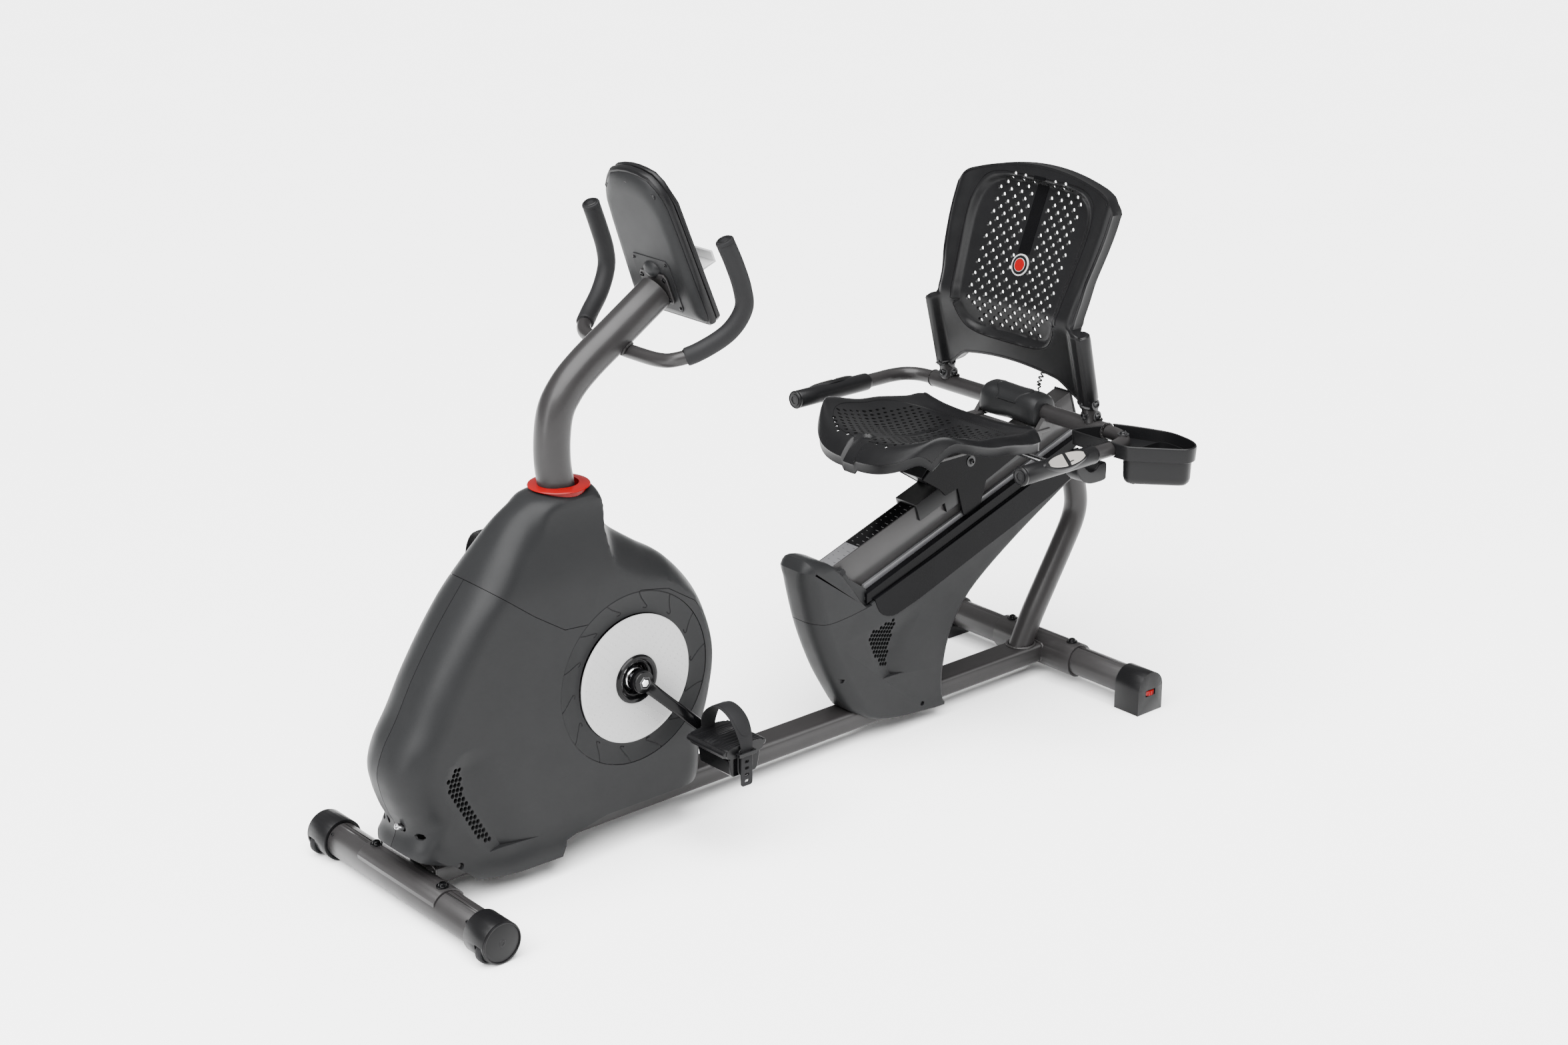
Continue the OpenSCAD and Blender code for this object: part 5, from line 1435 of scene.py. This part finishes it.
def at_crank(part, along, centre):
    """Puts a part drawn on the left side at a centre; along is 1 for the left crank and -1 for the right."""
    moved = [(v[0] * along + centre[0], v[1], v[2] * along + centre[1]) for v in part[0]], part[1]
    return moved if along == 1 else mirrored(moved)


def at_pedal(part, along):
    centre = (CRANK[0] + along * PEDAL_SPAN, CRANK[1] - along * PEDAL_SPAN)
    moved = [(v[0] + centre[0], v[1], v[2] + centre[1]) for v in part[0]], part[1]
    return moved if along == 1 else mirrored(moved)


def crank_parts():
    slope = math.cos(math.radians(45))
    route = [(0, -99.5), (18, -99.5), (40, -101.5), (70, -108), (105, -117), (135, -123), (150, -124),
             (165, -124)]
    path = [Vector((s * slope, y, -s * slope)) for s, y in spline(route, 4)]
    wide = [(1.06 - .22 * ease(k / 10) + .08 * ease((k - 22) / 8),
             1.12 - .16 * ease(k / 12)) for k in range(len(path))]
    arm = sweep(path, rounded(12.4, 22, 5.4, 6), (slope, 0, slope), scale=wide)
    hub = turned([(19, -91.5), (21, -92.5), (21, -105), (19.5, -107.5), (12, -108.5)], (0, 0, 0), (0, 1, 0),
                 48)
    end = (PEDAL_SPAN, 0, -PEDAL_SPAN)
    boss = turned([(12, -117), (13.6, -118), (13.6, -129), (12.2, -130.5)], end, (0, 1, 0), 40)
    return join([arm, hub, boss])


def make_crank(name, along):
    body = "crank"
    solid("crank_arm_" + name + "_forged", *at_crank(crank_parts(), along, CRANK), body, GLOSS, 34,
                ("crank_arm_" + name,), "black_steel")
    cap = ring_of([(9.6, -107), (13, -107), (13, -109.4), (12, -110.4), (9.6, -110.4)], (0, 0, 0), (0, 1, 0),
                  6)
    nut = turned([(8.2, -104), (8.2, -109), (6.8, -110.6), (0, -110.8)], (0, 0, 0), (0, 1, 0), 6)
    solid("crank_nut_" + name, *at_crank(nut, along, CRANK), body, CHROME)
    solid("crank_washer_" + name, *at_crank(cap, along, CRANK), body, BLACK_STEEL)
    pin = turned([(4.6, -130), (5.9, -131), (5.9, -228), (5, -229)], (0, 0, 0), (0, 1, 0), 24)
    shoulder = turned([(8.6, -130.4), (9.2, -131), (9.2, -134.4), (8, -135)], (0, 0, 0), (0, 1, 0), 6)
    solid("pedal_pin_" + name, *at_pedal(join([pin, shoulder]), along), body, CHROME)


def tread_section(y):
    """The pedal's outline across its length at one station, with the wavy, ribbed tread on top."""
    t = (y - PEDAL_Y) / 52
    swell = 2.4 * math.cos(t * math.pi * 1.6)
    rib = 1.1 * abs(math.sin(y * math.pi / 7.6)) if abs(t) < .86 else 0
    end = 1 - .10 * ease((abs(t) - .82) / .18)
    half = 47 * end
    top = 10 + swell + rib
    points = [(-half, -2), (-half, 3), (-half + 4, 8.4), (-half + 12, top - 1), (-half * .5, top),
              (0, top - .4),
              (half * .5, top), (half - 12, top - 1), (half - 4, 8.4), (half, 3), (half, -2),
              (half - 3, -7.5),
              (half - 12, -11), (0, -12), (-half + 12, -11), (-half + 3, -7.5)]
    return [(x, y, z) for x, z in points]


def pedal_parts():
    stations = [-240 + 104 * k / 82 for k in range(83)]
    tread = loft([tread_section(y) for y in stations])
    rolls = []
    for side in (-1, 1):
        edge = [Vector((side * 43.5, y, 2.5)) for y in (-239, -200, -160, -137)]
        rolls.append(tube(edge, [(0, 4), (1, 5.8), (-1, 5.8), (0, 4)], 16))
    return join([tread, *rolls])


def strap_path(rise):
    """The strap's middle line; rise stretches it where it is let out."""
    points = [(0, -140.5, -6), (0, -138.5, 10), (0, -140, 26), (0, -147, 43), (0, -160, 57), (0, -177, 65.5),
              (0, -196, 66), (0, -215, 58.5), (0, -230, 44), (0, -239.5, 25), (0, -243.6, 8), (0, -244.4, -5)]
    return spline([Vector((x, y, z if z < 0 else z * rise)) for x, y, z in points], 5)


def strap_parts(rise):
    path = strap_path(rise)
    n = len(path)
    band = []
    for k in range(n):
        s = k / (n - 1)
        band.append(((26 + 11 * ease(s / .25) * ease((.97 - s) / .3)) / 36, 1))
    loop = sweep(path, rounded(36, 2.4, 1.1, 3), (0, -1, 0), scale=band)
    lo, hi = int(n * .27), int(n * .83)
    crest = path[lo:hi]
    m = len(crest)
    out = []
    for k in range(m):
        s = 2 * k / (m - 1) - 1
        out.append((max(.05, (1 - abs(s) ** 5) ** .5 * (24 + 4 * ease((s + 1) / 2)) / 28), 1))
    shift = []
    for k, p in enumerate(crest):
        away = (p - Vector((0, -190, 10))).normalized()
        shift.append(p + away * 1.3)
    panel = sweep(shift, rounded(28, 1.5, .7, 3), (0, -1, 0), scale=out)
    return loop, panel


def make_pedal(name, along):
    body = "pedal_" + name
    solid("pedal_deck_" + name, *at_pedal(pedal_parts(), along), body, BLACK, 24, ("pedal_" + name,))
    block = plate([(-34, -9), (34, -9), (36, -14), (31, -42), (25, -48), (-25, -48), (-31, -42), (-36, -14)],
                  -238, -152)
    weight = solid("pedal_weight_" + name, *at_pedal(block, along), body, GLOSS)
    round_edges(weight, 3, segments=3)
    pad = plate([(x - 2, z - 21) for x, z in rounded(34, 56, 16, 8)], -243, -238.5)
    facing = solid("pedal_end_" + name, *at_pedal(pad, along), body, BLACK)
    round_edges(facing, 1.4, segments=3)
    loop, panel = strap_parts(1 if along == 1 else 1.7)
    solid("strap_loop_" + name, *at_pedal(loop, along), body, RUBBER, 34, ("pedal_strap_" + name,))
    solid("strap_panel_" + name, *at_pedal(panel, along), body, RUBBER, 34)
    outline = [(x - 4, z - 33) for x, z in rounded(25, 64, 5, 5)]
    tail = cutter(plate(outline, -249.4, -246.8))
    slots = [plate([(x - 4, z - 56 + 12.4 * k) for x, z in rounded(9, 5.4, 1.6, 3)], -260,
                   -240) for k in range(4)]
    combine(tail, [cutter(join(slots))])
    moved = at_pedal(([tuple((v.co - at(0, 0, 0)) * 1000) for v in tail.data.vertices],
                      [tuple(p.vertices) for p in tail.data.polygons]), along)
    bpy.data.objects.remove(tail)
    strip = solid("strap_tail_" + name, *moved, body, RUBBER)
    round_edges(strip, .5)
    bars = [plate([(x - 4, z - 3) for x, z in rounded(40, 7, 2, 3)], y0, y1) for y0,
            y1 in ((-246.4, -243.2), (-253.4, -250))]
    ends = [plate([(x + dx - 4, z - 3) for x, z in rounded(5, 7, 1.5, 3)], -253, -243.6) for dx in (-17.5,
            17.5)]
    buckle = solid("strap_buckle_" + name, *at_pedal(join(bars + ends), along), body, BLACK)
    round_edges(buckle, .6)
    peg = turned([(4, -137), (4, -134.8), (3, -134)], (0, 0, 2), (0, 1, 0), 20)
    solid("strap_peg_" + name, *at_pedal(peg, along), body, BLACK_STEEL)


for name, along in (("left", 1), ("right", -1)):
    make_crank(name, along)
    make_pedal(name, along)


# ---- Inside the drive shroud ----

cad("drive_belt", RUBBER, .4)
cad("idler_arm", PAINT, .8)
cad("idler_pulley", BLACK, .5)
cad("brake_servo", BLACK, 1)
cad("brake_arm", PAINT, .8)
cad("dc_jack", CHROME, .3)
cad("shaft_bearings", CHROME, .4)
cad("crank_axle", CHROME, .6)
cad("drive_pulley", BLACK, .8)
cad("flywheel", IRON, 1.2)
cad("flywheel_axle", CHROME, .5)


# ---- Light and floor ----

def area_light(name, place, aim, size, power, tint=(1, 1, 1)):
    data = bpy.data.lights.new(name, "AREA")
    data.shape = "RECTANGLE"
    data.size, data.size_y = size
    data.energy = power
    data.color = tint
    lamp = bpy.data.objects.new(name, data)
    lamp.location = at(*place)
    lamp.rotation_euler = (at(*aim) - at(*place)).to_track_quat("-Z", "Y").to_euler()
    bpy.context.scene.collection.objects.link(lamp)


def make_stage():
    world = bpy.data.worlds.new("studio")
    world.use_nodes = True
    world.node_tree.nodes["Background"].inputs["Color"].default_value = (1, 1, 1, 1)
    world.node_tree.nodes["Background"].inputs["Strength"].default_value = 0.45
    bpy.context.scene.world = world
    mesh = bpy.data.meshes.new("floor")
    size = 30
    mesh.from_pydata([(-size, -size, 0), (size, -size, 0), (size, size, 0), (-size, size, 0)], [],
                     [(0, 1, 2, 3)])
    floor = bpy.data.objects.new("floor", mesh)
    floor.location.z = -0.0004
    bpy.context.scene.collection.objects.link(floor)
    mesh.materials.append(material("floor_paper", (0.93, 0.93, 0.93), 0.75, tone=0.01, tone_scale=1))
    data = bpy.data.lights.new("soft_sky", "SUN")
    data.energy = 17
    data.angle = math.radians(70)
    sky = bpy.data.objects.new("soft_sky", data)
    sky.rotation_euler = Vector((0.35, 0.25, -1)).to_track_quat("-Z", "Y").to_euler()
    bpy.context.scene.collection.objects.link(sky)
    area_light("left_strip", (-2600, -300, 1700), (300, 0, 450), (1.0, 2.6), 90)
    area_light("right_strip", (3000, -2600, 1800), (900, 0, 450), (1.0, 2.4), 50)


make_stage()
